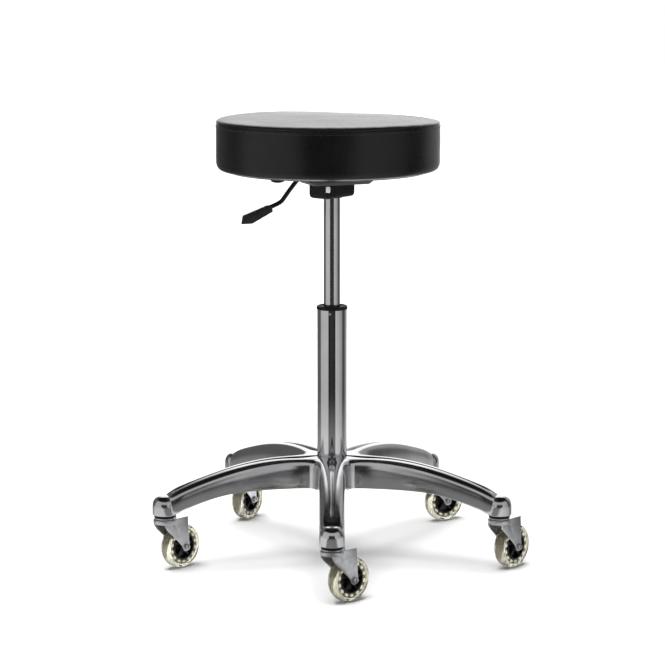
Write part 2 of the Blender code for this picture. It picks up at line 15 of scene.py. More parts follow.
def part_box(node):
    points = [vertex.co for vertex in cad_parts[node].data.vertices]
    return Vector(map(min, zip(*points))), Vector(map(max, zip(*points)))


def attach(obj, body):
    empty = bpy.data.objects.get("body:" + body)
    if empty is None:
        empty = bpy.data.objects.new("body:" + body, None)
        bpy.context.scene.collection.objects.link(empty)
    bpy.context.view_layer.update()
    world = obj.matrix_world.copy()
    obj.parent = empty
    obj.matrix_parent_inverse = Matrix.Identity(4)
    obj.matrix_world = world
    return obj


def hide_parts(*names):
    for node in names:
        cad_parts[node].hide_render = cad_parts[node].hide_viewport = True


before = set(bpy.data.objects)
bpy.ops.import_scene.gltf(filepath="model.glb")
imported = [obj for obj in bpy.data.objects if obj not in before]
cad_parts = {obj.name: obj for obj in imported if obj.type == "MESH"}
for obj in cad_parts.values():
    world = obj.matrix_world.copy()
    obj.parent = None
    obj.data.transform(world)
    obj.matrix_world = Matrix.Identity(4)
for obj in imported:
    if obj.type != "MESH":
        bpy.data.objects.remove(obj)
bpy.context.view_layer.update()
LOG = logging.getLogger("stool")
MM = 0.001
CORNERS = ("front", "right", "back_right", "back_left", "left")
Profile = list[tuple[float, float]]


# ---------------------------------------------------------------- finishes

def linear(code: str) -> tuple[float, float, float, float]:
    """Turns an sRGB hex colour into the linear values that shaders take.

    Args:
        code: A colour such as "#1a1a1b".

    Returns:
        Linear red, green, blue and an alpha of 1.
    """
    channels = [int(code[i:i + 2], 16) / 255 for i in (1, 3, 5)]
    red, green, blue = (c / 12.92 if c <= 0.04045 else ((c + 0.055) / 1.055) ** 2.4 for c in channels)
    return red, green, blue, 1.0


def add_node(tree: bpy.types.NodeTree, kind: str, settings: dict | None = None, values: dict | None = None,
             links: dict | None = None) -> bpy.types.Node:
    """Adds one node with its settings, its input values and its links.

    Args:
        tree: The node tree it goes in.
        kind: The node's type name.
        settings: Attributes of the node.
        values: Default values by input name or number.
        links: Output sockets by input name or number.

    Returns:
        The new node.
    """
    node = tree.nodes.new(kind)
    for key, value in (settings or {}).items():
        setattr(node, key, value)
    for key, value in (values or {}).items():
        node.inputs[key].default_value = value
    for key, source in (links or {}).items():
        tree.links.new(source, node.inputs[key])
    return node


class Grain(Enum):
    """The small relief that a surface's making leaves on it."""

    EMBOSSED = "leather pebble rolled into vinyl"
    MOULDED = "spark-eroded mould texture"
    DRAWN = "lines along the piece from drawing or grinding"
    TURNED = "fine rings from a lathe"
    BUFFED = "slow waves left by hand buffing"
    SPUN_BONDED = "pressed loose fibres"
    VENEER = "peeled plies"
    CAST_CLEAR = "slow waves in clear plastic"


@dataclass(frozen=True)
class Finish:
    """A real material and how its surface was made.

    The colour varies between colour and tint in patches, and roughness between its two values with
    the grain. grain_mm and depth_mm are the real size and depth of the relief.
    """

    name: str
    slot: str
    colour: str
    tint: str
    roughness: tuple[float, float]
    grain: Grain
    grain_mm: float
    depth_mm: float
    patch_mm: float = 40.0
    metallic: float = 0.0
    ior: float = 1.5
    specular: float = 0.5
    coat: tuple[float, float] = (0.0, 0.1)
    sheen: float = 0.0
    transmission: float = 0.0
    subsurface: float = 0.0
    wear_and_edge_highlight: str = ""
    painted_rim_shade: str = ""

    def relief(self, tree: bpy.types.NodeTree, place: bpy.types.NodeSocket) -> bpy.types.NodeSocket:
        """Builds the grain's height.

        Args:
            tree: The material's node tree.
            place: Coordinates in metres on the piece.

        Returns:
            A height from about 0 to 1.
        """
        scale = 1 / (self.grain_mm * MM)
        if self.grain is Grain.EMBOSSED:
            bent = add_node(tree, "ShaderNodeTexNoise", {}, {"Scale": scale * 0.6, "Detail": 2.0}, {"Vector": place})
            moved = add_node(tree, "ShaderNodeVectorMath", {"operation": "MULTIPLY_ADD"},
                             {1: (self.grain_mm * MM * 0.8,) * 3}, {0: bent.outputs["Color"], 2: place})
            cells = add_node(tree, "ShaderNodeTexVoronoi", {"feature": "DISTANCE_TO_EDGE"}, {"Scale": scale},
                             {"Vector": moved.outputs[0]})
            return add_node(tree, "ShaderNodeMapRange", {"interpolation_type": "SMOOTHSTEP"},
                            {"From Max": 0.28}, {"Value": cells.outputs["Distance"]}).outputs["Result"]
        stretch = {
            Grain.DRAWN: (1.0, 1.0, 0.012), Grain.TURNED: (0.02, 0.02, 1.0), Grain.VENEER: (0.05, 1.0, 1.0),
            Grain.SPUN_BONDED: (1.0, 0.12, 1.0),
        }.get(self.grain, (1.0, 1.0, 1.0))
        mapped = add_node(tree, "ShaderNodeMapping", {"vector_type": "POINT"}, {"Scale": stretch}, {"Vector": place})
        detail = {Grain.BUFFED: 1.0, Grain.CAST_CLEAR: 0.0}.get(self.grain, 3.0)
        first = add_node(tree, "ShaderNodeTexNoise", {}, {"Scale": scale, "Detail": detail},
                         {"Vector": mapped.outputs[0]}).outputs["Fac"]
        if self.grain is not Grain.SPUN_BONDED:
            return first
        across = add_node(tree, "ShaderNodeMapping", {}, {"Scale": (0.12, 1.0, 1.0), "Rotation": (0, 0, 0.5)},
                          {"Vector": place})
        second = add_node(tree, "ShaderNodeTexNoise", {}, {"Scale": scale, "Detail": detail},
                          {"Vector": across.outputs[0]}).outputs["Fac"]
        return add_node(tree, "ShaderNodeMath", {"operation": "MAXIMUM"}, {}, {0: first, 1: second}).outputs[0]

    def material(self) -> bpy.types.Material:
        """Builds the node material, or returns the one already built."""
        made = bpy.data.materials.get(self.name)
        if made:
            return made
        made = bpy.data.materials.new(self.name)
        made.use_nodes = True
        tree = made.node_tree
        shader = tree.nodes["Principled BSDF"]
        place = add_node(tree, "ShaderNodeTexCoord").outputs["Object"]
        height = self.relief(tree, place)
        patches = add_node(tree, "ShaderNodeTexNoise", {}, {"Scale": 1 / (self.patch_mm * MM), "Detail": 4.0},
                           {"Vector": place}).outputs["Fac"]
        share = add_node(tree, "ShaderNodeMapRange", {}, {"From Min": 0.35, "From Max": 0.65},
                         {"Value": patches}).outputs["Result"]
        colour = add_node(tree, "ShaderNodeMix", {"data_type": "RGBA"},
                          {6: linear(self.colour), 7: linear(self.tint)}, {0: share}).outputs[2]
        # Convex edges, found by pointiness, are lightened: partly wear, partly a painted edge highlight.
        if self.wear_and_edge_highlight:
            edges = add_node(tree, "ShaderNodeNewGeometry").outputs["Pointiness"]
            wear_and_highlight_mask = add_node(tree, "ShaderNodeMapRange", {}, {"From Min": 0.52, "From Max": 0.62, "To Max": 0.6},
                              {"Value": edges}).outputs["Result"]
            colour = add_node(tree, "ShaderNodeMix", {"data_type": "RGBA"}, {7: linear(self.wear_and_edge_highlight)},
                              {0: wear_and_highlight_mask, 6: colour}).outputs[2]
        # Painted shade: the colour turns dark towards the silhouette, where the view grazes the surface.
        if self.painted_rim_shade:
            facing = add_node(tree, "ShaderNodeLayerWeight", {}, {"Blend": 0.5}).outputs["Facing"]
            rim = add_node(tree, "ShaderNodeMapRange", {"interpolation_type": "SMOOTHSTEP"},
                           {"From Min": 0.38, "From Max": 0.85}, {"Value": facing}).outputs["Result"]
            colour = add_node(tree, "ShaderNodeMix", {"data_type": "RGBA"}, {7: linear(self.painted_rim_shade)},
                              {0: rim, 6: colour}).outputs[2]
        tree.links.new(colour, shader.inputs["Base Color"])
        both = add_node(tree, "ShaderNodeMath", {"operation": "ADD", "use_clamp": True}, {}, {0: height, 1: patches})
        rough = add_node(tree, "ShaderNodeMapRange", {},
                         {"From Min": 0.4, "From Max": 1.0, "To Min": self.roughness[0], "To Max": self.roughness[1]},
                         {"Value": both.outputs[0]}).outputs["Result"]
        tree.links.new(rough, shader.inputs["Roughness"])
        bump = add_node(tree, "ShaderNodeBump", {}, {"Strength": 1.0, "Distance": self.depth_mm * MM},
                        {"Height": height}).outputs["Normal"]
        tree.links.new(bump, shader.inputs["Normal"])
        shader.inputs["Metallic"].default_value = self.metallic
        shader.inputs["IOR"].default_value = self.ior
        shader.inputs["Specular IOR Level"].default_value = self.specular
        shader.inputs["Coat Weight"].default_value, shader.inputs["Coat Roughness"].default_value = self.coat
        shader.inputs["Sheen Weight"].default_value = self.sheen
        shader.inputs["Transmission Weight"].default_value = self.transmission
        shader.inputs["Subsurface Weight"].default_value = self.subsurface
        shader.inputs["Subsurface Radius"].default_value = (0.004, 0.0035, 0.002)
        return made


# Die-cast aluminium, ground and buffed to a mirror: slow waves bend its reflections a little.
CAST_ALUMINIUM = Finish("buffed_cast_aluminium", "cast_aluminium", "#cfcfd0", "#c2c2c4", (0.08, 0.16),
                        Grain.BUFFED, 26.0, 0.05, 60.0, metallic=1.0)
# Bright chrome on drawn tube: near-mirror, with faint lines along its length.
CHROME_TUBE = Finish("chromed_steel_tube", "chrome_tube", "#d3d3d5", "#c8c8ca", (0.04, 0.10),
                     Grain.DRAWN, 0.9, 0.002, 50.0, metallic=1.0)
# Hard chrome on ground rod: a touch more satin, so that its bands have softer edges.
GROUND_CHROME = Finish("ground_hard_chrome", "cylinder_chrome", "#d6d6d8", "#cbcbcd", (0.10, 0.17),
                       Grain.TURNED, 0.5, 0.002, 50.0, metallic=1.0)
# Zinc plate over pressed sheet: satin grey with faint cloudy spangle, and convex edges painted brighter as a painted
# highlight.
ZINC_PLATE = Finish("zinc_plated_pressing", "zinc_plate", "#d2d3d5", "#bcbdc0", (0.24, 0.38),
                    Grain.BUFFED, 2.4, 0.012, 9.0, metallic=1.0, wear_and_edge_highlight="#f0f0f0")
# Turned and plated steel: small bright fittings with lathe rings.
BRIGHT_STEEL = Finish("turned_bright_steel", "bright_steel", "#c3c3c5", "#a9a9ac", (0.16, 0.28),
                      Grain.TURNED, 0.35, 0.006, 12.0, metallic=1.0)
# Glass-filled polypropylene from a spark-eroded mould: matte black with a fine even tooth.
BLACK_POLYPROPYLENE = Finish("moulded_polypropylene", "black_plastic", "#0a0a0b", "#0e0e0f", (0.34, 0.48),
                             Grain.MOULDED, 0.45, 0.03, 25.0, specular=0.25, wear_and_edge_highlight="#1c1c1d")
# Polished mould nylon: glossier black for the wheel hubs.
HUB_NYLON = Finish("polished_mould_nylon", "hub_plastic", "#0a0a0b", "#111112", (0.16, 0.28),
                   Grain.MOULDED, 1.6, 0.010, 12.0, ior=1.53, specular=0.4, wear_and_edge_highlight="#2a2a2b")
# ABS grip with a coarser mould texture that keeps fingers from slipping.
# Its convex edges are painted lighter as a painted highlight.
PADDLE_ABS = Finish("textured_abs_grip", "paddle_plastic", "#101011", "#1a1a1b", (0.38, 0.55),
                    Grain.MOULDED, 0.8, 0.08, 9.0, specular=0.35, wear_and_edge_highlight="#48484a")
# Stoved gloss enamel on rod: smooth and black under a clear shine.
BLACK_ENAMEL = Finish("stoved_black_enamel", "black_steel", "#070708", "#0b0b0c", (0.22, 0.32),
                      Grain.BUFFED, 6.0, 0.012, 20.0, coat=(0.3, 0.08), specular=0.3)
# Polyester powder coat: dark grey with a soft orange-peel skin.
GREY_POWDER_COAT = Finish("grey_powder_coat", "grey_steel", "#1c1c1d", "#242425", (0.36, 0.48),
                          Grain.BUFFED, 1.8, 0.03, 30.0, specular=0.35, wear_and_edge_highlight="#58585a")
# Clear cast polyurethane: soft and glassy with a yellow cast, and a painted dark olive shade where the view grazes it.
CLEAR_POLYURETHANE = Finish("clear_polyurethane", "clear_tyre", "#ecead9", "#dedabf", (0.03, 0.08),
                            Grain.CAST_CLEAR, 9.0, 0.05, 20.0, ior=1.49, transmission=0.93, painted_rim_shade="#3d3b2a")
# The same resin seen through the core's windows: its pale beads are a painted highlight for the light it gathers there.
PALE_POLYURETHANE = Finish("pale_window_polyurethane", "clear_tyre", "#f2f0e4", "#e2dfcc", (0.12, 0.22),
                           Grain.CAST_CLEAR, 4.0, 0.03, 8.0, ior=1.49, subsurface=0.5, coat=(0.5, 0.05))
# Smoky resin web between the windows, which looks olive where the black core lies behind it.
SMOKY_POLYURETHANE = Finish("smoky_web_polyurethane", "clear_tyre", "#6f6b4e", "#57543c", (0.10, 0.20),
                            Grain.CAST_CLEAR, 5.0, 0.03, 10.0, ior=1.49, coat=(0.6, 0.05))
# Moulded rubber: dull black with a chalky bloom.
RUBBER = Finish("moulded_rubber", "rubber", "#0d0d0d", "#151515", (0.62, 0.8), Grain.MOULDED, 0.9, 0.03, 15.0,
                specular=0.3)
# Natural nylon: milky ivory bearing plastic.
NATURAL_NYLON = Finish("natural_nylon", "nylon", "#d8d6cf", "#c9c6bd", (0.34, 0.46), Grain.TURNED, 0.6, 0.01,
                       20.0, subsurface=0.15)
# PVC leatherette: black vinyl with a rolled pebble and a soft factory gloss. Real pebbles are about
# 0.8 mm across; they are drawn at 1.3 mm so that they show.
LEATHERETTE = Finish("pvc_leatherette", "leatherette", "#08080a", "#0c0c0d", (0.20, 0.31),
                     Grain.EMBOSSED, 1.3, 0.028, 70.0, ior=1.52, specular=0.34)
# Bonded polyester thread: matte black twist that stands off the vinyl.
THREAD = Finish("bonded_polyester_thread", "leatherette", "#121213", "#1c1c1d", (0.5, 0.66),
                Grain.DRAWN, 0.3, 0.03, 5.0, sheen=0.12)
# Spun-bonded polypropylene cloth: thin black dust cover with pressed fibres.
DUST_CLOTH = Finish("spun_bonded_cloth", "black_fabric", "#0e0e0f", "#171718", (0.8, 0.95),
                    Grain.SPUN_BONDED, 0.7, 0.08, 18.0, sheen=0.15)
# Birch plywood: pale peeled plies.
BIRCH_PLY = Finish("birch_plywood", "plywood", "#c39a68", "#a97f4f", (0.55, 0.7), Grain.VENEER, 1.5, 0.08, 30.0)
CAD_FINISHES = {
    "guide_bush": NATURAL_NYLON, "thrust_ball_cage": NATURAL_NYLON, "thrust_washer": BRIGHT_STEEL,
    "rubber_bumper": RUBBER, "retaining_clip": BRIGHT_STEEL, "piston_rod": GROUND_CHROME,
    "piston": NATURAL_NYLON, "cylinder_end_cap": NATURAL_NYLON, "lever_pivot_pin": BRIGHT_STEEL,
    "lever_cam": BRIGHT_STEEL, "mounting_plate": GREY_POWDER_COAT, "seat_board": BIRCH_PLY,
    "release_button": BRIGHT_STEEL,
}


# ---------------------------------------------------------------- mesh making

def finished(bm: bmesh.types.BMesh, name: str, angle: float = 32.0) -> bpy.types.Mesh:
    """Closes a bmesh into a smooth-shaded mesh.

    Args:
        bm: The geometry, which is freed.
        name: The mesh's name.
        angle: Edges sharper than this many degrees stay crisp.

    Returns:
        The mesh.
    """
    bmesh.ops.remove_doubles(bm, verts=bm.verts, dist=1e-6)
    bmesh.ops.recalc_face_normals(bm, faces=bm.faces)
    mesh = bpy.data.meshes.new(name)
    bm.to_mesh(mesh)
    bm.free()
    mesh.shade_smooth()
    mesh.set_sharp_from_angle(angle=radians(angle))
    return mesh


def rounded(points: Sequence[tuple[float, float]], radius: float, closed: bool = True, steps: int = 4) -> Profile:
    """Rounds each corner of an outline.

    Args:
        points: Corners of the outline.
        radius: How far from a corner its arc starts, at most.
        closed: False keeps the first and last point sharp.
        steps: Pieces in each arc.

    Returns:
        The rounded outline.
    """
    result: Profile = []
    count = len(points)
    for i, corner in enumerate(points):
        if not closed and i in (0, count - 1):
            result.append(corner)
            continue
        here = Vector(corner)
        before, after = Vector(points[i - 1]) - here, Vector(points[(i + 1) % count]) - here
        reach = min(radius, before.length * 0.45, after.length * 0.45)
        start, end = here + before.normalized() * reach, here + after.normalized() * reach
        for step in range(steps + 1):
            t = step / steps
            result.append(tuple(start * (1 - t) ** 2 + here * 2 * t * (1 - t) + end * t * t))
    return result


def lathe(name: str, profile: Sequence[tuple[float, float]], segments: int = 96, radius: float = 0.0005,
          angle: float = 32.0) -> bpy.types.Mesh:
    """Turns a profile round Z, with its corners rounded.

    Args:
        name: The mesh's name.
        profile: (radius, height) points. It ends on the axis or closes on itself.
        segments: Steps round the axis.
        radius: Size of the rounding at each corner.
        angle: Edges sharper than this many degrees stay crisp.

    Returns:
        A closed mesh.
    """
    on_axis = profile[0][0] == 0
    points = rounded(profile, radius, closed=not on_axis)
    bm = bmesh.new()
    rings = []
    for out, height in points:
        if out == 0:
            rings.append([bm.verts.new((0, 0, height))] * segments)
        else:
            rings.append([
                bm.verts.new((out * cos(tau * i / segments), out * sin(tau * i / segments), height))
                for i in range(segments)
            ])
    pairs = list(zip(rings, rings[1:])) + ([] if on_axis else [(rings[-1], rings[0])])
    for ring, following in pairs:
        for i in range(segments):
            j = (i + 1) % segments
            corners = list(dict.fromkeys((ring[i], ring[j], following[j], following[i])))
            if len(corners) > 2:
                bm.faces.new(corners)
    return finished(bm, name, angle)


def bridged(bm: bmesh.types.BMesh, ring: Sequence[bmesh.types.BMVert], following: Sequence[bmesh.types.BMVert]) -> None:
    """Joins two closed rings of equal counts with a band of quads.

    Args:
        bm: The geometry that both rings belong to.
        ring: Points of one ring, in order.
        following: Points of the next ring, in the same order.
    """
    for i in range(len(ring)):
        j = (i + 1) % len(ring)
        bm.faces.new((ring[i], ring[j], following[j], following[i]))


def circle(centre: Vector, across: Vector, up: Vector, size: float, sides: int) -> list[Vector]:
    """Points of a circle.

    Args:
        centre: Its centre.
        across: Unit vector towards the first point.
        up: Unit vector at right angles to it.
        size: Its radius.
        sides: How many points.

    Returns:
        The points, in order.
    """
    return [centre + (across * cos(tau * i / sides) + up * sin(tau * i / sides)) * size for i in range(sides)]


def skin(name: str, sections: Sequence[Sequence[Vector]], angle: float = 32.0) -> bpy.types.Mesh:
    """Skins a row of closed sections with equal counts of points, and caps both ends.

    Args:
        name: The mesh's name.
        sections: The rings of points, in order.
        angle: Edges sharper than this many degrees stay crisp.

    Returns:
        A closed mesh.
    """
    bm = bmesh.new()
    rings = [[bm.verts.new(point) for point in section] for section in sections]
    for ring, following in zip(rings, rings[1:]):
        bridged(bm, ring, following)
    bm.faces.new(rings[0])
    bm.faces.new(rings[-1])
    return finished(bm, name, angle)


def plate(name: str, outline: Sequence[tuple[float, float]], low: float, high: float, edge: float,
          angle: float = 32.0) -> bpy.types.Mesh:
    """Extrudes an outline along Z with rounded rims.

    Args:
        name: The mesh's name.
        outline: (x, y) points round the plate.
        low: Height of one face.
        high: Height of the other face.
        edge: Radius of the rims.
        angle: Edges sharper than this many degrees stay crisp.

    Returns:
        A closed mesh.
    """
    count = len(outline)
    flat = [Vector(point) for point in outline]
    inward = []
    for i in range(count):
        along = (flat[(i + 1) % count] - flat[i - 1]).normalized()
        inward.append(Vector((-along.y, along.x)))
    area = sum(flat[i - 1].x * flat[i].y - flat[i].x * flat[i - 1].y for i in range(count))
    turn = 1 if area > 0 else -1
    sections = []
    for height, inset in (
        (low, edge), (low + edge * 0.3, edge * 0.3), (low + edge, 0), (high - edge, 0),
        (high - edge * 0.3, edge * 0.3), (high, edge),
    ):
        sections.append([Vector((*(p + n * inset * turn), height)) for p, n in zip(flat, inward)])
    return skin(name, sections, angle)


def swept(name: str, route: Sequence[Vector], radius: float, sides: int = 24, tip: float = 0.0006) -> bpy.types.Mesh:
    """Sweeps a round section along a route, with rounded ends.

    Args:
        name: The mesh's name.
        route: Centre points.
        radius: Radius of the rod.
        sides: Points round the section.
        tip: Size of the chamfer at both ends.

    Returns:
        A closed mesh.
    """
    ahead = [(b - a).normalized() for a, b in zip(route, route[1:])]
    ways = [ahead[0]] + [(a + b).normalized() for a, b in zip(ahead, ahead[1:])] + [ahead[-1]]
    side = ways[0].orthogonal().normalized()
    stations = [(route[0], ways[0], radius - tip), (route[0] + ways[0] * tip, ways[0], radius)]
    stations += [(point, way, radius) for point, way in zip(route[1:-1], ways[1:-1])]
    stations += [(route[-1] - ways[-1] * tip, ways[-1], radius), (route[-1], ways[-1], radius - tip)]
    sections = []
    for point, way, size in stations:
        side = (side - way * side.dot(way)).normalized()
        sections.append(circle(point, side, way.cross(side), size, sides))
    return skin(name, sections)


def curved(points: Sequence[Vector], steps: int = 8) -> list[Vector]:
    """Points on a smooth curve that passes through the given ones.

    Args:
        points: The knots.
        steps: Pieces between two knots.

    Returns:
        Points of the curve.
    """
    ends = [points[0] * 2 - points[1], *points, points[-1] * 2 - points[-2]]
    result = []
    for a, b, c, d in zip(ends, ends[1:], ends[2:], ends[3:]):
        for step in range(steps):
            t = step / steps
            result.append(0.5 * (2 * b + (c - a) * t + (2 * a - 5 * b + 4 * c - d) * t ** 2
                                 + (3 * b - a - 3 * c + d) * t ** 3))
    result.append(points[-1])
    return result


def moved(mesh: bpy.types.Mesh, matrix: Matrix) -> bpy.types.Mesh:
    """The mesh itself, transformed."""
    mesh.transform(matrix)
    return mesh


def gathered(name: str, meshes: Sequence[bpy.types.Mesh], angle: float = 32.0) -> bpy.types.Mesh:
    """Puts several closed bodies in one mesh and clears the sources.

    Args:
        name: The mesh's name.
        meshes: Bodies that don't touch each other.
        angle: Edges sharper than this many degrees stay crisp.

    Returns:
        The mesh.
    """
    bm = bmesh.new()
    for mesh in meshes:
        bm.from_mesh(mesh)
        bpy.data.meshes.remove(mesh)
    return finished(bm, name, angle)


def carved(name: str, body: bpy.types.Mesh, added: Sequence[bpy.types.Mesh] = (),
           cut: Sequence[bpy.types.Mesh] = (), angle: float = 32.0) -> bpy.types.Mesh:
    """Joins bodies on and cuts bodies away, leaving one closed surface.

    Args:
        name: The mesh's name.
        body: The mesh to start from.
        added: Bodies joined to it.
        cut: Bodies taken from it.
        angle: Edges sharper than this many degrees stay crisp.

    Returns:
        The new mesh.
    """
    blank = bpy.data.objects.new(f"{name}_blank", body)
    bpy.context.scene.collection.objects.link(blank)
    helpers = []
    for operation, meshes in (("UNION", added), ("DIFFERENCE", cut)):
        for mesh in meshes:
            helper = bpy.data.objects.new(f"{name}_helper", mesh)
            bpy.context.scene.collection.objects.link(helper)
            helpers.append(helper)
            boolean = blank.modifiers.new("shape", "BOOLEAN")
            boolean.operation, boolean.solver, boolean.object = operation, "MANIFOLD", helper
    bpy.context.view_layer.update()
    result = bpy.data.meshes.new_from_object(blank.evaluated_get(bpy.context.evaluated_depsgraph_get()))
    for helper in (blank, *helpers):
        bpy.data.objects.remove(helper, do_unlink=True)
    result.name = name
    result.materials.clear()
    result.shade_smooth()
    result.set_sharp_from_angle(angle=radians(angle))
    return result


def subdivided(mesh: bpy.types.Mesh, levels: int, angle: float = 32.0) -> bpy.types.Mesh:
    """A smooth mesh made from a cage.

    Args:
        mesh: The cage.
        levels: How many times it is subdivided.
        angle: Edges sharper than this many degrees stay crisp.

    Returns:
        The new mesh.
    """
    blank = bpy.data.objects.new("cage", mesh)
    bpy.context.scene.collection.objects.link(blank)
    modifier = blank.modifiers.new("smooth", "SUBSURF")
    modifier.levels = modifier.render_levels = levels
    bpy.context.view_layer.update()
    result = bpy.data.meshes.new_from_object(blank.evaluated_get(bpy.context.evaluated_depsgraph_get()))
    bpy.data.objects.remove(blank, do_unlink=True)
    result.shade_smooth()
    result.set_sharp_from_angle(angle=radians(angle))
    return result


def publish(name: str, mesh: bpy.types.Mesh, finish: Finish, body: str, stands_for: Sequence[str] = (),
            at: Matrix | None = None) -> bpy.types.Object:
    """Puts a piece in the scene, dresses it and lets it ride on its body.

    Args:
        name: The piece's name.
        mesh: Its shape.
        finish: Its finish.
        body: The CAD body that it moves with.
        stands_for: CAD nodes that it replaces.
        at: Its place, or None for the frame's origin.

    Returns:
        The object.
    """
    piece = bpy.data.objects.new(name, mesh)
    bpy.context.scene.collection.objects.link(piece)
    if not mesh.materials:
        mesh.materials.append(finish.material())
    if at:
        piece.matrix_world = at
    bpy.context.view_layer.update()
    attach(piece, body)
    if stands_for:
        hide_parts(*stands_for)
    LOG.info("%s rides on %s in %s, %d faces", name, body, finish.name, len(mesh.polygons))
    return piece


def middle(node: str) -> Vector:
    """Centre of a CAD node's box."""
    low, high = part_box(node)
    return (low + high) / 2


# ---------------------------------------------------------------- base casting

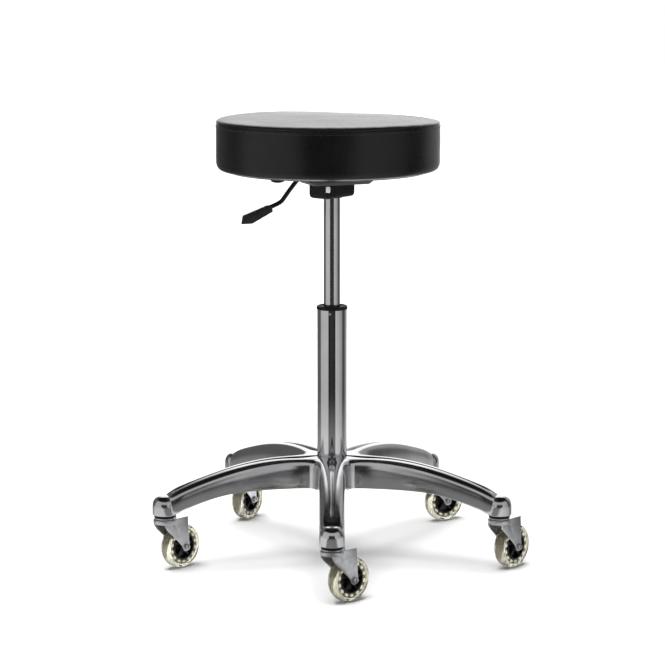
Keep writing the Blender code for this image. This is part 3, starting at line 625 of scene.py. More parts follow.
@dataclass
class CastBase:
    """The five-arm star: a hub round the tube, arms with a narrowing valley on top, and caster sockets."""

    bore: float = 0.0253
    arm_count: int = 5
    boss_radius: float = 0.0203
    stem_hole: float = 0.0058
    wall: float = 0.0045
    # Distance, top, bottom, half width, valley half width and valley depth along an arm.
    stations: tuple = (
        (0.066, 0.1781, 0.1290, 0.0246, 0.0086, 0.0036),
        (0.090, 0.1786, 0.1297, 0.0238, 0.0058, 0.0027),
        (0.115, 0.1776, 0.1300, 0.0231, 0.0042, 0.0020),
        (0.145, 0.1742, 0.1300, 0.0223, 0.0032, 0.0015),
        (0.177, 0.1682, 0.1282, 0.0216, 0.0027, 0.0012),
        (0.205, 0.1610, 0.1240, 0.0211, 0.0024, 0.0009),
        (0.232, 0.1528, 0.1165, 0.0206, 0.0024, 0.0009),
        (0.246, 0.1481, 0.1118, 0.0204, 0.0030, 0.0016),
        (0.257, 0.1441, 0.1080, 0.0203, 0.0040, 0.0026),
        (0.267, 0.1403, 0.1052, 0.0203, 0.0044, 0.0028),
        (0.2745, 0.1366, 0.1000, 0.0201, 0.0044, 0.0016),
        (0.2830, 0.1318, 0.0990, 0.0192, 0.0044, 0.0000),
        (0.2895, 0.1262, 0.1000, 0.0165, 0.0044, 0.0000),
        (0.2940, 0.1200, 0.1020, 0.0125, 0.0040, 0.0000),
    )

    def hub_rows(self) -> list[tuple[list[Vector], list[Vector]]]:
        """Top and bottom rows round the hub, from the middle of the arm to the web between two arms."""
        half_angle = pi / self.arm_count
        low, rows = 0.1286, []
        for out, centre, top, dip in (
            (self.bore, self.bore, 0.1780, 0.0040), (0.0290, 0.0292, 0.1784, 0.0048), (0.0365, 0.0400, 0.1781, 0.0050),
            (0.0462, 0.0540, 0.1778, 0.0048),
        ):
            above, below = [], []
            for step, (t, fall) in enumerate(((0, 1.0), (0.09, 0.5), (0.22, 0.06), (0.6, 0.0), (1.0, 0.0))):
                angle = t * half_angle
                reach = centre + (out - centre) * t ** 1.5
                edge = 0.0030 if step == 4 and out > 0.04 else 0.0
                above.append(Vector((reach * cos(angle), reach * sin(angle), top - dip * fall - edge)))
                below.append(Vector((reach * cos(angle), reach * sin(angle), low)))
            rows.append((above, below))
        return rows

    def arm_rows(self) -> list[tuple[list[Vector], list[Vector], list[Vector]]]:
        """Top, side and bottom rows of each station along an arm."""
        rows = []
        for out, top, low, half, valley, dip in self.stations:
            last = out > 0.273
            height = top - low
            above = [
                Vector((out, y, z)) for y, z in (
                    (0, top - dip), (valley * 0.5, top - dip * 0.5), (valley, top - dip * 0.06),
                    (valley + (half - valley) * 0.45, top - 0.0004), (half * 0.81, top - min(0.0036, height * 0.12)),
                )
            ]
            side = [
                Vector((out, half * 0.96, top - height * 0.27)), Vector((out, half * 1.005, top - height * 0.6)),
                Vector((out, half, low + height * 0.1)),
            ]
            roof = low if last else max(top - 0.011, low + 0.002)
            inner = half - self.wall
            below = [
                Vector((out, 0, roof)), Vector((out, inner * 0.5, roof)), Vector((out, inner * 0.92, roof - 0.0015)),
                Vector((out, inner, low)), Vector((out, half * 0.96, low)),
            ]
            rows.append((above, side, below))
        return rows

    def cage(self) -> bpy.types.Mesh:
        """The coarse cage of the whole star, with firm edges along the valleys and the rims."""
        hub, arm = self.hub_rows(), self.arm_rows()
        tops = [above for above, _ in hub] + [above for above, _, _ in arm]
        lows = [below for _, below in hub] + [below for _, _, below in arm]
        apex_top, apex_low = hub[-1][0][4], hub[-1][1][4]
        wall = Vector((apex_top.x, apex_top.y, 0)) * 1.075
        sides = [[Vector((wall.x, wall.y, z)) for z in (0.1660, 0.1500, 0.1330)]] + [side for _, side, _ in arm]
        apex_low.x, apex_low.y = wall.x * 0.99, wall.y * 0.99
        first = len(hub) - 1
        quads, firm = [], []
        for rows in (tops, lows):
            for near, far in zip(rows, rows[1:]):
                for j in range(4):
                    quads.append((near[j], far[j], far[j + 1], near[j + 1]))
        for u in range(first, len(tops) - 1):
            near = [tops[u][4], *sides[u - first], lows[u][4]]
            far = [tops[u + 1][4], *sides[u + 1 - first], lows[u + 1][4]]
            for k in range(4):
                quads.append((near[k], far[k], far[k + 1], near[k + 1]))
            firm.append((lows[u][4], lows[u + 1][4], 0.9))
            firm.append((lows[u][3], lows[u + 1][3], 0.75))
        for u in range(1, len(tops) - 5):
            firm.append((tops[u][0], tops[u + 1][0], 0.85))
            firm.append((tops[u][2], tops[u + 1][2], 0.4))
        bore_rows = [
            [a.lerp(b, t) for a, b in zip(tops[0], lows[0])] for t in (0, 0.33, 0.67, 1)
        ]
        end_rows = [
            [
                (tops[-1][j].lerp(lows[-1][j], t) + Vector((0.003 * sin(pi * t) * (1 - j / 4), 0, 0)))
                if 0 < t < 1 and j < 4 else
                (tops[-1][j] if t == 0 else lows[-1][j] if t == 1 else sides[-1][k - 1])
                for j in range(5)
            ]
            for k, t in enumerate((0, 0.27, 0.6, 0.9, 1))
        ]
        for rows in (bore_rows, end_rows):
            for near, far in zip(rows, rows[1:]):
                for j in range(4):
                    quads.append((near[j], far[j], far[j + 1], near[j + 1]))
        for j in range(4):
            firm += [(tops[0][j], tops[0][j + 1], 0.8), (lows[0][j], lows[0][j + 1], 0.8)]
        bm = bmesh.new()
        crease = bm.edges.layers.float.new("crease_edge")
        flip = Matrix.Diagonal((1, -1, 1))
        for number in range(self.arm_count):
            spin = Matrix.Rotation(radians(-90 + number * 360 / self.arm_count), 3, "Z")
            for turn in (spin, spin @ flip):
                for quad in quads:
                    if len({tuple(round(c, 7) for c in p) for p in quad}) == 4:
                        bm.faces.new([bm.verts.new(turn @ point) for point in quad])
        bmesh.ops.remove_doubles(bm, verts=bm.verts, dist=2e-5)
        found = {tuple(round(c * 2e4) for c in vert.co): vert for vert in bm.verts}
        for number in range(self.arm_count):
            spin = Matrix.Rotation(radians(-90 + number * 360 / self.arm_count), 3, "Z")
            for turn in (spin, spin @ flip):
                for a, b, amount in firm:
                    ends = [found.get(tuple(round(c * 2e4) for c in turn @ p)) for p in (a, b)]
                    edge = bm.edges.get(ends) if all(ends) and ends[0] is not ends[1] else None
                    if edge:
                        edge[crease] = amount
        return finished(bm, "star_cage", 180.0)

    def boss(self, at: Vector) -> bpy.types.Mesh:
        """The domed boss that the arm runs into, round one caster stem."""
        edge = self.boss_radius
        dome = lathe("boss", [
            (0, 0.1284), (0.0070, 0.1281), (0.0122, 0.1266), (0.0166, 0.1230), (edge - 0.0009, 0.1180), (edge, 0.1126),
            (edge, 0.0975), (edge - 0.0008, 0.0967), (0, 0.0967),
        ], 64, 0.0024, 50.0)
        return moved(dome, Matrix.Translation((at.x, at.y, 0)))

    def build(self) -> None:
        """Builds the star and its bosses as one casting, with a bored hole for each caster stem."""
        star = subdivided(self.cage(), 3, 60.0)
        bosses, bores = [], []
        for corner in CORNERS:
            at = middle(f"caster_stem_{corner}")
            bosses.append(self.boss(at))
            bore = lathe("bore", [(0, 0.1235), (self.stem_hole, 0.1225), (self.stem_hole, 0.08), (0, 0.08)], 40, 0.0)
            bores.append(moved(bore, Matrix.Translation((at.x, at.y, 0))))
        casting = carved("star_casting", star, bosses, bores, 38.0)
        publish("star_casting", casting, CAST_ALUMINIUM, "base", ["star_base"])


# ---------------------------------------------------------------- casters

@dataclass
class Caster:
    """One swivel caster: grip stem, dust ring, pressed fork, axle, spoked hub and clear tyre."""

    corner: str
    half_width: float = 0.012
    fork_wall: float = 0.0022
    leg_gap: float = 0.0134
    head_radius: float = 0.019
    core_radius: float = 0.0228
    window_radius: float = 0.0259
    window_count: int = 14
    spoke_count: int = 5

    def __post_init__(self) -> None:
        """Takes the caster's place from the CAD nodes."""
        self.foot = middle(f"caster_stem_{self.corner}")
        self.foot.z = 0
        self.hub = middle(f"caster_hub_{self.corner}")
        self.radius = self.hub.z
        away = self.hub - self.foot
        self.trail = hypot(away.x, away.y)
        self.turn = atan2(away.y, away.x)
        self.head_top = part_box(f"caster_fork_{self.corner}")[1].z
        self.upright = Matrix.Translation(self.foot) @ Matrix.Rotation(self.turn, 4, "Z")
        self.on_axle = (self.upright @ Matrix.Translation((self.trail, 0, self.hub.z))
                        @ Matrix.Rotation(pi / 2, 4, "X"))

    def stem(self) -> bpy.types.Mesh:
        """Grip stem with its ring groove, the upper race and the riveted end."""
        race = self.head_top + 0.3 * MM
        rivet = self.head_top - self.fork_wall - 0.3 * MM
        return lathe("caster_stem", [
            (0, 0.1225), (0.0040, 0.1225), (0.0055, 0.1205), (0.0055, 0.1165), (0.0049, 0.1160), (0.0049, 0.1140),
            (0.0055, 0.1135), (0.0055, race + 0.0030), (0.0160, race + 0.0030), (0.0172, race + 0.0018),
            (0.0172, race), (0.0050, race), (0.0050, rivet), (0.0085, rivet), (0.0082, rivet - 0.0016),
            (0.0060, rivet - 0.0030), (0, rivet - 0.0032),
        ], 64, 0.0004)

    def dust_ring(self) -> bpy.types.Mesh:
        """The black ring in the gap under the socket, with a thin groove."""
        low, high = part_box(f"caster_dust_ring_{self.corner}")
        mid = (low.z + high.z) / 2
        return lathe("caster_dust_ring", [
            (0.0178, high.z), (0.0178, mid + 0.0003), (0.0172, mid), (0.0178, mid - 0.0003), (0.0178, low.z),
            (0.0059, low.z), (0.0059, high.z),
        ], 64, 0.0003)

    def leg(self, side: int) -> bpy.types.Mesh:
        """One fork leg with its rounded end and its hollowed front edge."""
        end, top = 0.0075, self.head_top - 0.0003
        outline = [(self.trail + end - 0.0033, top - 0.0002), (-0.0095, top - 0.0002), (-0.0122, top - 0.0070),
                   (-0.0105, top - 0.0128), (-0.0066, top - 0.0185), (0.0023, top - 0.0268), (0.0109, top - 0.0355),
                   (0.0180, top - 0.0425), (0.0246, top - 0.0492)]
        first = radians(215)
        for step in range(11):
            angle = first + step / 10 * (tau - first)
            outline.append((self.trail + end * cos(angle), self.hub.z + end * sin(angle)))
        smooth_outline = rounded(outline[:9], 0.004, closed=False, steps=4) + outline[9:]
        inner = side * self.leg_gap
        outer = side * (self.leg_gap + self.fork_wall)
        shape = plate("leg", smooth_outline, min(inner, outer), max(inner, outer), 0.0008, 50.0)
        return moved(shape, Matrix.Rotation(pi / 2, 4, "X") @ Matrix.Diagonal((1, 1, -1, 1)))

    def fork(self) -> bpy.types.Mesh:
        """The pressed fork: a raceway cup with a rolled lip, two legs and holes for axle and grease."""
        top, wall, edge = self.head_top, self.fork_wall, self.head_radius
        skirt = top - 0.0078
        cup = lathe("cup", [
            (0.0155, top), (0.0178, top - 0.0004), (edge, top - 0.0020), (edge, skirt + 0.0012), (edge - 0.0004, skirt),
            (edge - wall, skirt), (edge - wall, top - wall - 0.0010), (edge - wall - 0.0012, top - wall),
            (0.0056, top - wall), (0.0056, top),
        ], 64, 0.0009, 40.0)
        hole = moved(lathe("hole", [(0, 0.03), (0.0033, 0.03), (0.0033, -0.03), (0, -0.03)], 24, 0.0),
                     Matrix.Translation((self.trail, 0, self.hub.z)) @ Matrix.Rotation(pi / 2, 4, "X"))
        grease = [
            moved(lathe("grease_hole", [(0, 0.03), (0.0010, 0.03), (0.0010, -0.03), (0, -0.03)], 16, 0.0),
                  Matrix.Translation((along, 0, height)) @ Matrix.Rotation(pi / 2, 4, "X"))
            for along, height in ((-0.0052, top - 0.0112), (-0.0020, top - 0.0146), (-0.0016, top - 0.0104))
        ]
        return carved("caster_fork", cup, [self.leg(-1), self.leg(1)], [hole, *grease], 30.0)

    def axle(self) -> bpy.types.Mesh:
        """Axle bolt: a hexagon head with a socket on one side and a lock nut on the other."""
        face = self.leg_gap + self.fork_wall + 0.3 * MM
        shank = lathe("shank", [(0, face + 0.0010), (0.0031, face + 0.0010), (0.0031, -face - 0.0010),
                                (0, -face - 0.0010)], 32, 0.0002)
        washer = [lathe("washer", [(0, z + 0.0007), (0.0058, z + 0.0007), (0.0058, z), (0, z)], 40, 0.0002)
                  for z in (face, -face - 0.0007)]
        hexagon = [(0.0052 * cos(tau * i / 6), 0.0052 * sin(tau * i / 6)) for i in range(6)]
        head = plate("head", rounded(hexagon, 0.0005, steps=2), face + 0.0005, face + 0.0038, 0.0004)
        nut = plate("nut", rounded(hexagon, 0.0005, steps=2), -face - 0.0038, -face - 0.0005, 0.0004)
        socket = lathe("socket", [(0, 0.02), (0.0024, 0.02), (0.0024, face + 0.0016), (0, face + 0.0012)], 24, 0.0)
        return carved("caster_axle", shank, [*washer, head, nut], [socket])

    def hub_mesh(self) -> bpy.types.Mesh:
        """Black core: rim, thin web, curved spokes on both faces and the bearing boss."""
        rim = lathe("rim", [
            (self.core_radius, 0.0098), (self.core_radius, -0.0098), (0.0204, -0.0098), (0.0192, -0.0030),
            (0.0192, 0.0030), (0.0204, 0.0098),
        ], 64, 0.0008)
        web = lathe("web", [(0.0200, 0.0016), (0.0200, -0.0016), (0.0070, -0.0016), (0.0070, 0.0016)], 64, 0.0)
        boss = lathe("boss", [(0.0088, 0.0122), (0.0088, -0.0122), (0.0036, -0.0122), (0.0036, 0.0122)], 48, 0.0008)
        spokes = []
        for number in range(self.spoke_count):
            start = tau * number / self.spoke_count
            route = [
                Vector((r * cos(start + bend), r * sin(start + bend), 0))
                for r, bend in ((0.0078, 0.0), (0.0120, 0.16), (0.0160, 0.24), (0.0198, 0.26))
            ]
            spokes.append(self.spoke(curved(route, 4)))
        return carved("caster_hub", rim, [web, boss, *spokes], angle=34.0)

    def spoke(self, route: Sequence[Vector]) -> bpy.types.Mesh:
        """One rib that stands on both faces of the web, along a route."""
        sections = []
        for i, point in enumerate(route):
            way = (route[min(i + 1, len(route) - 1)] - route[max(i - 1, 0)]).normalized()
            across = Vector((-way.y, way.x, 0)) * 0.0013
            tall = 0.0076 + 0.0026 * (1 - i / len(route))
            corners = ((1, tall - 0.0006), (0.6, tall), (-0.6, tall), (-1, tall - 0.0006))
            ring = [point + across * s + Vector((0, 0, z)) for s, z in corners]
            ring += [point + across * s - Vector((0, 0, z)) for s, z in reversed(corners)]
            sections.append(ring)
        return skin("spoke", sections)

    def tyre(self) -> bpy.types.Mesh:
        """Clear tyre with a crowned tread, rounded shoulders and a shallow groove on each face."""
        edge = self.radius
        face = self.half_width
        ring = 0.0298
        profile = [
            (edge, 0.0), (edge - 0.0004, 0.0055), (edge - 0.0024, 0.0098), (edge - 0.0056, face - 0.0002),
            (ring + 0.0008, face - 0.0010), (ring, face - 0.0020), (ring, -face + 0.0020),
            (ring + 0.0008, -face + 0.0010), (edge - 0.0056, -face + 0.0002), (edge - 0.0024, -0.0098),
            (edge - 0.0004, -0.0055),
        ]
        return lathe("caster_tyre", profile, 96, 0.0030, 50.0)

    def window_web(self) -> bpy.types.Mesh:
        """The ring of resin between the core and the tyre's face groove."""
        return lathe("caster_window_web", [
            (0.0296, 0.0084), (0.0296, -0.0084), (self.core_radius + 0.0002, -0.0084),
            (self.core_radius + 0.0002, 0.0084),
        ], 96, 0.0012)

    def windows(self) -> bpy.types.Mesh:
        """The ring of rounded windows on both faces."""
        beads = []
        for number in range(self.window_count):
            angle = tau * (number + 0.5) / self.window_count
            for face in (-1, 1):
                bead = lathe("bead", [(0, 0.0022), (0.0012, 0.0020), (0.0024, 0.0012), (0.0029, 0.0), (0, -0.0012)],
                             20, 0.0006)
                place = (Matrix.Rotation(angle, 4, "Z")
                         @ Matrix.Translation((self.window_radius + 0.0002, 0, face * 0.0082))
                         @ Matrix.Rotation(0 if face > 0 else pi, 4, "X") @ Matrix.Diagonal((1.0, 1.32, 1, 1)))
                beads.append(moved(bead, place))
        return gathered("caster_windows", beads)

    def build(self) -> None:
        """Builds the caster's pieces on their three bodies."""
        corner = self.corner
        shared = Caster.shared
        if not shared:
            shared.update(stem=self.stem(), ring=self.dust_ring(), fork=self.fork(), axle=self.axle(),
                          hub=self.hub_mesh(), tyre=self.tyre(), web=self.window_web(), windows=self.windows())
        foot = Matrix.Translation(self.foot)
        swivel, wheel = f"caster_{corner}", f"wheel_{corner}"
        publish(f"stem_{corner}", shared["stem"], BRIGHT_STEEL, "base", [f"caster_stem_{corner}"], foot)
        publish(f"dust_ring_{corner}", shared["ring"], BLACK_POLYPROPYLENE, "base",
                [f"caster_dust_ring_{corner}"], foot)
        publish(f"fork_{corner}", shared["fork"], ZINC_PLATE, swivel, [f"caster_fork_{corner}"], self.upright)
        publish(f"axle_{corner}", shared["axle"], BRIGHT_STEEL, swivel, [f"caster_axle_{corner}"], self.on_axle)
        publish(f"hub_{corner}", shared["hub"], HUB_NYLON, wheel, [f"caster_hub_{corner}"], self.on_axle)
        publish(f"tyre_{corner}", shared["tyre"], CLEAR_POLYURETHANE, wheel, [f"caster_tyre_{corner}"], self.on_axle)
        publish(f"window_web_{corner}", shared["web"], SMOKY_POLYURETHANE, wheel, at=self.on_axle)
        # The windows' pale colour is a painted highlight.
        publish(f"windows_{corner}", shared["windows"], PALE_POLYURETHANE, wheel, at=self.on_axle)


Caster.shared = {}


# ---------------------------------------------------------------- column

@dataclass
class Column:
    """Outer tube, its black guide collar and rivet, and the gas cylinder."""

    def build(self) -> None:
        """Builds the column's visible pieces."""
        low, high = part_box("stand_tube")
        tube = (high.x - low.x) / 2
        bore = tube - 0.002
        publish("stand_tube_chromed", lathe("stand_tube_chromed", [
            (tube, high.z), (tube, low.z), (0.0041, low.z), (0.0041, low.z + 0.003), (bore, low.z + 0.003),
            (bore, high.z),
        ], 128, 0.0004), CHROME_TUBE, "base", ["stand_tube"])
        self.collar(high.z)
        self.rivet(tube, high.z)
        low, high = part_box("gas_cylinder")
        rod = (high.x - low.x) / 2
        publish("gas_cylinder_ground", lathe("gas_cylinder_ground", [
            (0, 0.6255), (0.0045, 0.6255), (0.0045, high.z), (0.0128, high.z), (0.0135, high.z - 0.002),
            (rod, 0.605), (rod, low.z), (rod - 0.0019, low.z), (rod - 0.0019, 0.585), (0, 0.585),
        ], 128, 0.0004), GROUND_CHROME, "seat", ["gas_cylinder"])

    def collar(self, tube_top: float) -> None:
        """The black guide collar: a rolled rim with a wiper lip round the cylinder."""
        edge, top, skirt = 0.0261, tube_top + 0.0032, tube_top - 0.0024
        shape = lathe("guide_collar", [
            (0.0152, top - 0.0008), (0.0165, top - 0.0003), (0.0185, top - 0.0008), (0.0200, top - 0.0018),
            (0.0218, top - 0.0018), (0.0236, top - 0.0002), (0.0250, top), (edge, top - 0.0018),
            (edge, skirt + 0.0005), (edge - 0.0005, skirt), (0.0252, skirt), (0.0252, tube_top + 0.0003),
            (0.0143, tube_top + 0.0003), (0.0143, top - 0.0016),
        ], 128, 0.0007)
        publish("guide_collar", shape, BLACK_POLYPROPYLENE, "base", ["tube_collar"])

    def rivet(self, tube: float, tube_top: float) -> None:
        """The small rivet that holds the guide bush, just under the collar."""
        head = lathe("bush_rivet", [(0, 0.0009), (0.0010, 0.0008), (0.0019, 0.0003), (0.0022, -0.0006), (0, -0.0006)],
                     32, 0.0003)
        place = (Matrix.Rotation(radians(-8), 4, "Z") @ Matrix.Translation((0, -tube, tube_top - 0.0078))
                 @ Matrix.Rotation(pi / 2, 4, "X"))
        publish("bush_rivet", head, BRIGHT_STEEL, "base", at=place)


# ---------------------------------------------------------------- seat mechanism

def rounded_box_ring(length: float, width: float, radius: float, height: float, turn: float,
                     steps: int = 8) -> list[Vector]:
    """Points round a rectangle with arcs for corners.

    Args:
        length: Size along its own X.
        width: Size along its own Y.
        radius: Corner radius.
        height: Z of the ring.
        turn: Rotation about Z.
        steps: Pieces in each corner.

    Returns:
        The ring's points.
    """
    spin = Matrix.Rotation(turn, 3, "Z")
    points = []
    for corner, (side_x, side_y) in enumerate(((1, 1), (-1, 1), (-1, -1), (1, -1))):
        for step in range(steps + 1):
            angle = (corner + step / steps) * pi / 2
            points.append(spin @ Vector((
                side_x * (length / 2 - radius) + radius * cos(angle),
                side_y * (width / 2 - radius) + radius * sin(angle), height,
            )))
    return points


@dataclass
class Mechanism:
    """What carries the seat: moulded housing, taper socket, bolts, lever and its paddle."""

    length: float = 0.075
    width: float = 0.042
    turn: float = radians(51)
    wall: float = 0.0025

    def build(self) -> None:
        """Builds the mechanism's visible pieces."""
        self.housing()
        self.socket()
        self.bolts()
        self.lever()
        self.paddle()
        self.underside_cap()

    def ring(self, inset: float, radius: float, height: float) -> list[Vector]:
        """One ring of the housing's outline, pulled in by an inset."""
        return rounded_box_ring(self.length - 2 * inset, self.width - 2 * inset, radius, height, self.turn)

    def housing(self) -> None:
        """The moulded shell with rounded lower edges, a neck ring, and a pale wedge in its corner window as a painted
        highlight.
        """
        low, high = (corner.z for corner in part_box("mechanism_housing"))
        shell = skin("shell", [
            self.ring(inset, radius, height) for inset, radius, height in (
                (0.0085, 0.0040, low), (0.0050, 0.0045, low + 0.0003), (0.0026, 0.0050, low + 0.0013),
                (0.0010, 0.0056, low + 0.0030), (0.0003, 0.0060, low + 0.0052), (0.0, 0.0060, low + 0.0080),
                (0.0, 0.0060, high - 0.0016), (0.0004, 0.0058, high),
            )
        ], 40.0)
        room = skin("room", [
            self.ring(self.wall, 0.003, height) for height in (low + 0.004, high + 0.01)
        ])
        neck = lathe("neck", [(0.0178, low + 0.0010), (0.0178, low - 0.0000), (0.0160, low - 0.0000),
                              (0.0160, low + 0.0010)], 64, 0.0002)
        passage = lathe("passage", [(0, low + 0.02), (0.0150, low + 0.02), (0.0150, low - 0.02), (0, low - 0.02)],
                        64, 0.0)
        window = skin("window", [
            [Vector((x, y, z)) for x, z in rounded(
                [(-0.0105, 0.627), (-0.0025, 0.627), (-0.0025, 0.638), (-0.0105, 0.638)], 0.0008)]
            for y in (-0.060, -0.020)
        ])
        shape = carved("housing_shell", shell, [neck], [room, passage, window], 40.0)
        publish("housing_shell", shape, BLACK_POLYPROPYLENE, "seat", ["mechanism_housing"])
        # A pale nylon wedge behind the corner window: a painted highlight where the corner looks bright.
        tongue = plate("painted_highlight_tongue", rounded(
            [(-0.0101, 0.6274), (-0.0029, 0.6274), (-0.0029, 0.6376), (-0.0101, 0.6376)], 0.0010),
            0.0180, 0.0392, 0.0006)
        publish("painted_highlight_wedge", moved(tongue, Matrix.Rotation(pi / 2, 4, "X")), NATURAL_NYLON, "seat")

    def socket(self) -> None:
        """The turned socket that grips the cylinder's taper."""
        low, high = (corner.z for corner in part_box("taper_socket"))
        publish("taper_socket_turned", lathe("taper_socket_turned", [
            (0.0178, high), (0.0178, low + 0.0040), (0.0170, low + 0.0034), (0.0170, low), (0.0145, low),
            (0.0141, high),
        ], 96, 0.0004), BRIGHT_STEEL, "seat", ["taper_socket"])

    def bolts(self) -> None:
        """Hexagon bolts with a flange under each head."""
        for number in range(1, 5):
            node = f"mounting_bolt_{number}"
            low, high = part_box(node)
            at = middle(node)
            hexagon = [(0.0054 * cos(tau * (i + number * 0.3) / 6), 0.0054 * sin(tau * (i + number * 0.3) / 6))
                       for i in range(6)]
            seat = low.z + 0.0040
            head = plate("bolt_head", rounded(hexagon, 0.0006, steps=2), low.z, seat - 0.0006, 0.0005)
            shank = lathe("shank", [(0, high.z), (0.0024, high.z), (0.0030, high.z - 0.0008), (0.0030, seat),
                                    (0.0066, seat), (0.0066, seat - 0.0009), (0, seat - 0.0012)], 40, 0.0002)
            shape = carved(f"seat_bolt_{number}", shank, [head])
            publish(f"seat_bolt_{number}", shape, BRIGHT_STEEL, "seat", [node],
                    Matrix.Translation((at.x, at.y, 0)))

    def lever(self) -> None:
        """The bent rod, from the cam block to the paddle."""
        radius = 0.00375
        knots = [(-0.0305, 0.649), (-0.0470, 0.649), (-0.0525, 0.6480), (-0.0572, 0.6450), (-0.0700, 0.6287),
                 (-0.0812, 0.6128), (-0.0848, 0.6088), (-0.0895, 0.6056), (-0.0980, 0.6015), (-0.1090, 0.5972)]
        route = curved([Vector((x, 0, z)) for x, z in knots], 6)
        publish("lever_rod_bent", swept("lever_rod_bent", route, radius, 28), BLACK_ENAMEL, "lever", ["lever_rod"])

    def paddle(self) -> None:
        """The moulded grip: flared, with a waist, cross ribs on top and a sloped lower face."""
        top = [Vector((-0.1000, 0.6030)), Vector((-0.1105, 0.6015)), Vector((-0.1492, 0.5847))]
        ribs: Profile = []
        count = 9
        slope = top[2] - top[1]
        across = Vector((-slope.y, slope.x)).normalized() * -1
        for rib in range(count):
            for share, lift in ((0.0, 0.0), (0.3, 0.00045), (0.7, 0.00045)):
                t = 0.12 + 0.76 * (rib + share) / count
                ribs.append(tuple(top[1] + slope * t + across * (lift - 0.0006)))
        outline: Profile = [(-0.1000, 0.6030), (-0.1105, 0.6015), *ribs, (-0.1492, 0.5847), (-0.1513, 0.5712)]
        under = [(-0.1325, 0.5722), (-0.1190, 0.5800), (-0.0985, 0.5922)]
        soft = rounded([(-0.0985, 0.5922), *outline[:2]], 0.0016, closed=False, steps=3)[1:-1]
        tail = rounded([ribs[-1], (-0.1492, 0.5847), (-0.1513, 0.5712), *under[:1]], 0.0016, closed=False, steps=4)
        low = rounded([under[0], under[1], under[2]], 0.0030, closed=False, steps=3)
        side_view = [*soft, (-0.1105, 0.6015), *ribs, *tail[1:-1], *low]
        centre = sum((Vector(p) for p in side_view), Vector((0, 0))) / len(side_view)
        sections = []
        for y, shrink in ((-0.0090, 0.0024), (-0.0086, 0.0011), (-0.0074, 0.0002), (0.0, 0.0), (0.0074, 0.0002),
                          (0.0086, 0.0011), (0.0090, 0.0024)):
            ring = []
            for x, z in side_view:
                inward = (centre - Vector((x, z))).normalized() * shrink
                flare = 0.82 + 0.18 * min(1.0, max(0.0, (-0.105 - x) / 0.02))
                ring.append(Vector((x + inward.x, y * flare, z + inward.y)))
            sections.append(ring)
        publish("paddle_grip", skin("paddle_grip", sections, 45.0), PADDLE_ABS, "lever", ["lever_paddle"])

    def underside_cap(self) -> None:
        """The soft rubber dome under the seat."""
        low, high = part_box("underside_cap")
        at = middle("underside_cap")
        edge = (high.x - low.x) / 2
        shape = lathe("underside_button", [
            (0, high.z), (edge - 0.0004, high.z), (edge, high.z - 0.0010), (edge - 0.0006, high.z - 0.0030),
            (edge - 0.0022, high.z - 0.0034), (edge - 0.0038, high.z - 0.0064), (0.0050, low.z + 0.0002), (0, low.z),
        ], 64, 0.0010, 50.0)
        publish("underside_button", shape, RUBBER, "seat", ["underside_cap"], Matrix.Translation((at.x, at.y, 0)))


# ---------------------------------------------------------------- seat

